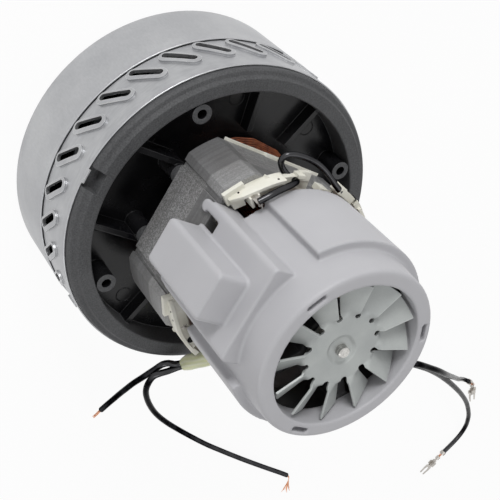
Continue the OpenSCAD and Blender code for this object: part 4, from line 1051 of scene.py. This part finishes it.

# Coil formers: the source's body, with its walls, end plates and contacts in detail, and near-black discs of
# painted shade at its holes.
# In degrees and millimetres, a sector is two angles, two radii and the height of its top along
# it. A hole's painted shade is an angle, a distance, a height and a radius, which is below 0 where it lies
# level.
formerSettings = {
    "low": 0.0664, "high": 0.0999, "base": 98.02, "soft": 0.0002,
    "post": {"out": 40.6, "size": (4.6, 1.1, 7.4)},
    "contact": [(0, (3.4, 0.5, 11), 1), (1.2, (0.5, 2.8, 6), 5), (0.4, (2.4, 1.8, 0.5), 10.6)],
    "contactSoft": 0.0001,
    "star": [(0, 1.7, 0.45), (0.3, 0.7, 1)],
    "left": {
        "sectors": [
            (208.5, 239, 42.9, 44.3, [(0, 104.4), (0.5, 104.7), (0.8, 103.8), (1, 101.2)]),
            (196, 200, 42.6, 44.3, [(0, 102.5), (1, 102)]),
            (232, 238.8, 38.4, 43, [(0, 101.8), (1, 100.6)]),
            (217, 222.5, 38.6, 41.2, [(0, 101.5), (1, 101.5)]),
            (178, 184, 38.2, 40.6, [(0, 103.4), (1, 103.4)]),
            (159.5, 172, 41.2, 44.3, [(0, 104.2), (1, 104.5)]),
            (198, 222, 38.7, 43.2, [(0, 100.6), (1, 100.6)]),
            (147, 155.5, 42.4, 45, [(0, 102.6), (1, 103.2)]),
            (121, 151.5, 42.9, 44.3, [(0, 101.2), (0.2, 103.8), (0.5, 104.7), (1, 104.4)]),
            (119.5, 129, 38.4, 43.4, [(0, 101), (0.5, 103.2), (1, 103.2)]),
        ],
        "posts": [229.8, 225.4, 130.2, 134.6],
        "holes": [(157.5, 44.9, 101.4, 1.5), (212, 44.34, 102.4, 0.45), (233, 44.34, 100.4, 0.45)],
        "contacts": [(227.6, 41.5), (132.4, 41.5)],
        "stars": [],
    },
    "right": {
        "sectors": [
            (302, 336, 42.9, 44.4, [(0, 100.6), (0.12, 103.2), (0.35, 105), (1, 105)]),
            (337.2, 345, 42.6, 44.7, [(0, 103.8), (0.6, 103.8), (1, 101.5)]),
            (303.5, 337, 38.7, 43.2, [(0, 100.4), (0.12, 102.8), (0.3, 103.4), (1, 103.4)]),
            (15, 22.8, 42.6, 44.7, [(0, 101.5), (0.4, 103.8), (1, 103.8)]),
            (24, 58, 42.9, 44.4, [(0, 105), (0.65, 105), (0.88, 103.2), (1, 100.6)]),
            (50.5, 60, 38.4, 43.4, [(0, 103.2), (0.5, 103.2), (1, 101)]),
        ],
        "posts": [45.4, 49.8],
        "holes": [
            (330.5, 41.3, 103.45, -1.6), (307.5, 44.44, 101.8, 0.4), (312.5, 44.44, 102.6, 0.4),
            (30, 44.44, 102.2, 1.75),
        ],
        "contacts": [(47.6, 41.5)],
        "stars": [(319.5, 41.2, 103.5)],
    },
}


def addSector(bm, low, high, inner, outer, base, tops, steps=14):
    rings = []
    for i in range(steps + 1):
        t = i / steps
        top = tops[-1][1]
        for (t0, z0), (t1, z1) in zip(tops, tops[1:]):
            if t0 <= t <= t1:
                top = z0 + (z1 - z0) * (t - t0) / (t1 - t0)
                break
        turn = low + (high - low) * t
        corners = ((inner, base), (outer, base), (outer, top), (inner, top))
        rings.append([bm.verts.new(spotAt(turn, r, z)) for r, z in corners])
    joinRings(bm, rings)
    bm.faces.new(rings[0][::-1])
    bm.faces.new(rings[-1])


def addBar(bm, turn, out, size, base):
    made = bmesh.ops.create_cube(bm, size=1.0)["verts"]
    bmesh.ops.scale(bm, vec=Vector(size) * mm, verts=made)
    bmesh.ops.translate(bm, vec=(out * mm, 0, (base + size[2] / 2) * mm), verts=made)
    bmesh.ops.rotate(bm, cent=(0, 0, 0), matrix=Matrix.Rotation(radians(turn), 3, "Z"), verts=made)


# Flat piece of the given outline that lies on the wall, facing away from the shaft, or level
def addPlate(bm, turn, out, height, outline, thick, level=False):
    side = Vector((-sin(radians(turn)), cos(radians(turn)), 0))
    centre = spotAt(turn, out, height)
    away, up = spotAt(turn, 1, 0), Vector((0, 0, 1))
    if level:
        away, up = up * mm, away / mm
    near, far = [[bm.verts.new(centre + (side * x + up * y) * mm + away * d) for x, y in outline]
                 for d in (-thick, 0.05)]
    bm.faces.new(near[::-1])
    bm.faces.new(far)
    joinRings(bm, [near, far])


# A circle, or a star where every second corner is drawn in
def roundOutline(radius, sides, waist=1):
    reach = [radius * (waist if k % 2 else 1) for k in range(sides)]
    return [around(r, 2 * pi * k / sides) for k, r in enumerate(reach)]


def makeFormer(name, node, s):
    whole = formerSettings
    bm = joinedNode(node)
    for height, facing in ((whole["low"], -1), (whole["high"], 1)):
        bmesh.ops.bisect_plane(bm, geom=bm.verts[:] + bm.edges[:] + bm.faces[:], dist=1e-7,
                               plane_co=(0, 0, height), plane_no=(0, 0, facing), clear_outer=True)
        bmesh.ops.holes_fill(bm, edges=[edge for edge in bm.edges if edge.is_boundary], sides=0)
    for low, high, inner, outer, tops in s["sectors"]:
        addSector(bm, low, high, inner, outer, whole["base"], tops)
    for turn in s["posts"]:
        addBar(bm, turn, whole["post"]["out"], whole["post"]["size"], whole["base"])
    standFor(finishMesh(bm, name, formerPlastic, soft=whole["soft"]), node)

    bm = bmesh.new()
    # painted shade: near-black discs on the wall stand where the holes are
    for turn, out, height, radius in s["holes"]:
        addPlate(bm, turn, out, height, roundOutline(abs(radius), 20), 0.6, level=radius < 0)
    finishMesh(bm, name + "_holes", guidePlastic)

    bm = bmesh.new()
    for turn, out in s["contacts"]:
        for shift, size, lift in whole["contact"]:
            addBar(bm, turn, out + shift, size, whole["base"] + lift)
    for turn, out, height in s["stars"]:
        for lift, radius, waist in whole["star"]:
            addPlate(bm, turn, out, height + lift, roundOutline(radius, 12, waist), 0.8, level=True)
    finishMesh(bm, name + "_contacts", tinPlate, soft=whole["contactSoft"])


makeFormer("former_left", "bobbin_left", formerSettings["left"])
makeFormer("former_right", "bobbin_right", formerSettings["right"])
report("formers made")

# Rolled edges of the two steel sheets, and a near-black ring between them that paints the shadow in the gap
beadSettings = {
    "cup_bead": (cupSteel, 71.7, 34.0, 0.42), "band_bead": (bandSteel, 71.0, 59.0, 0.4),
    # painted shadow: a near-black ring where the gap between the sheets lies in shade
    "gap_shadow": (guidePlastic, 71.15, 34.55, 0.3),
}


def makeBead(name, material, out, height, radius, count=220, sides=10):
    bm = bmesh.new()
    section = roundOutline(radius, sides)
    joinRings(bm, [[bm.verts.new(spotAt(360 * i / count, out + x, height + y)) for x, y in section]
                   for i in range(count)], closed=True)
    bead = finishMesh(bm, name, material)
    bead.data.shade_smooth()


for name, facts in beadSettings.items():
    makeBead(name, *facts)

# Brush springs: the source's coils with a round wire and closed ends
springSettings = {"wire": 0.00035, "turns": 6, "steps": 28, "flat": 0.8, "closedPitch": 1.9}


def makeSpring(name, node):
    s = springSettings
    corners = [Vector(corner) for corner in nodes[node].bound_box]
    low = Vector([min(c[k] for c in corners) for k in range(3)])
    high = Vector([max(c[k] for c in corners) for k in range(3)])
    middle = (low + high) / 2
    radius = (high.x - low.x) / 2 - s["wire"]
    long = high.y - low.y - 2 * s["wire"]
    pitch = s["wire"] * s["closedPitch"]
    path = []
    for i in range(int((s["turns"] + 2 * s["flat"]) * s["steps"]) + 1):
        turn = i / s["steps"]
        share = min(1.0, max(0.0, (turn - s["flat"]) / s["turns"]))
        y = middle.y - long / 2 + pitch * min(turn, s["flat"]) + (long - 2 * pitch * s["flat"]) * share
        y += pitch * max(0.0, turn - s["flat"] - s["turns"])
        a = 2 * pi * turn
        path.append(Vector((middle.x + radius * cos(a), y, middle.z + radius * sin(a))))
    standFor(tubeCurve(name, [path], s["wire"], turnedSteel, 3), node)


makeSpring("spring_front", "brush_spring_front")
makeSpring("spring_back", "brush_spring_back")

# Armature windings: wires down the slots, crossed over each other in a head at both ends
windingSettings = {
    "slots": 12, "span": 150, "wire": 0.00038, "strands": 8, "layers": 4, "outer": 17.6,
    "layerStep": 0.55, "slack": 0.1, "slotWidth": 3.2, "ends": (67, 98), "overlap": 0.6, "head": 5.4,
    "headInner": 8.2, "headStep": 0.7, "cross": 0.14, "steps": 14,
}


def makeWindings(s):
    random.seed(7)
    paths = []
    for i in range(s["slots"]):
        start = 360 / s["slots"] * i
        for k in range(s["strands"]):
            layer, half = k % s["layers"], k // s["layers"] - 0.5
            out = s["outer"] - s["layerStep"] * layer + random.uniform(-s["slack"], s["slack"])
            side = half * s["slotWidth"]
            low, high = s["ends"]
            paths.append([spotAt(start + side, out - s["overlap"], z)
                          for z in (low - s["overlap"], high + s["overlap"])])
            for end, facing in ((low, -1), (high, 1)):
                path = []
                for step in range(s["steps"] + 1):
                    t = step / s["steps"]
                    swell = sin(pi * t)
                    inward = out - (out - s["headInner"] - s["headStep"] * layer) * swell ** 1.2
                    tall = s["head"] - s["layerStep"] * layer - s["cross"] * i
                    height = end + facing * (0.5 + tall * swell ** 0.55)
                    path.append(spotAt(start + side + (s["span"] - 2 * side) * t, inward, height))
                paths.append(path)
    windings = tubeCurve("windings", paths, s["wire"], enamelledCopper, 2, body="rotor")
    standFor(windings, "armature_windings")


makeWindings(windingSettings)
report("springs and windings made")

# CAD nodes that stay
nodeMaterials = {
    "fan_shell": cupSteel, "louvre_band": bandSteel, "interstage_guide": guidePlastic,
    "end_bracket": bracketPlastic, "lower_bearing": turnedSteel, "upper_bearing": turnedSteel,
    "wave_washer": turnedSteel, "stator_core": laminations, "clamp_screws": turnedSteel,
    "brush_tube_front": brassSheet, "brush_tube_back": brassSheet, "carbon_brush_front": carbon,
    "carbon_brush_back": carbon, "shaft": turnedSteel, "armature_core": laminations,
    "commutator": barCopper, "impeller_lower": rolledAluminium, "impeller_upper": rolledAluminium,
    "impeller_spacers": turnedSteel, "impeller_nut": turnedSteel,
}
for name, material in nodeMaterials.items():
    for slot in nodes[name].material_slots:
        slot.material = material
report("CAD nodes dressed")


# Floor, lamps and world

# 1 where a surface is seen straight, in a mirror or through glass, and 0 where it lights others
def seenItself(tree):
    rays = put(tree, "ShaderNodeLightPath").outputs
    seen = mathNode(tree, "MAXIMUM", rays["Is Camera Ray"], rays["Is Glossy Ray"])
    return mathNode(tree, "MAXIMUM", seen, rays["Is Transmission Ray"])


def makeFloor(s):
    bm = bmesh.new()
    bmesh.ops.create_grid(bm, x_segments=1, y_segments=1, size=s["half"])
    mesh = meshFrom(bm, "floor")
    material = bpy.data.materials.new("floor")
    tree = clearTree(material)
    paint = put(tree, "ShaderNodeBsdfDiffuse", {"Color": s["colour"]})
    glow = put(tree, "ShaderNodeEmission", {"Color": white})
    share = mathNode(tree, "MULTIPLY", seenItself(tree), s["glow"])
    mixed = put(tree, "ShaderNodeMixShader", {"Fac": share, 1: paint, 2: glow})
    put(tree, "ShaderNodeOutputMaterial", {"Surface": mixed})
    mesh.materials.append(material)
    newHolder("floor", mesh)


def makeLamps(lamps):
    for s in lamps:
        data = bpy.data.lights.new(s["name"], "AREA")
        data.shape = "DISK"
        data.size = s["size"]
        data.energy = s["power"]
        lamp = bpy.data.objects.new(s["name"], data)
        lamp.location = s["place"]
        lamp.rotation_euler = (Vector(s["aim"]) - lamp.location).to_track_quat("-Z", "Y").to_euler()
        scene.collection.objects.link(lamp)


def makeWorld(strength):
    world = bpy.data.worlds.new("world")
    scene.world = world
    tree = clearTree(world)
    lit = put(tree, "ShaderNodeBackground", {"Color": white, "Strength": strength})
    seen = put(tree, "ShaderNodeBackground", {"Color": white, "Strength": 1.0})
    mixed = put(tree, "ShaderNodeMixShader", {"Fac": seenItself(tree), 1: lit, 2: seen})
    put(tree, "ShaderNodeOutputWorld", {"Surface": mixed})


makeFloor(floorSettings)
makeLamps(lampSettings)
makeWorld(worldStrength)
report("stage set")
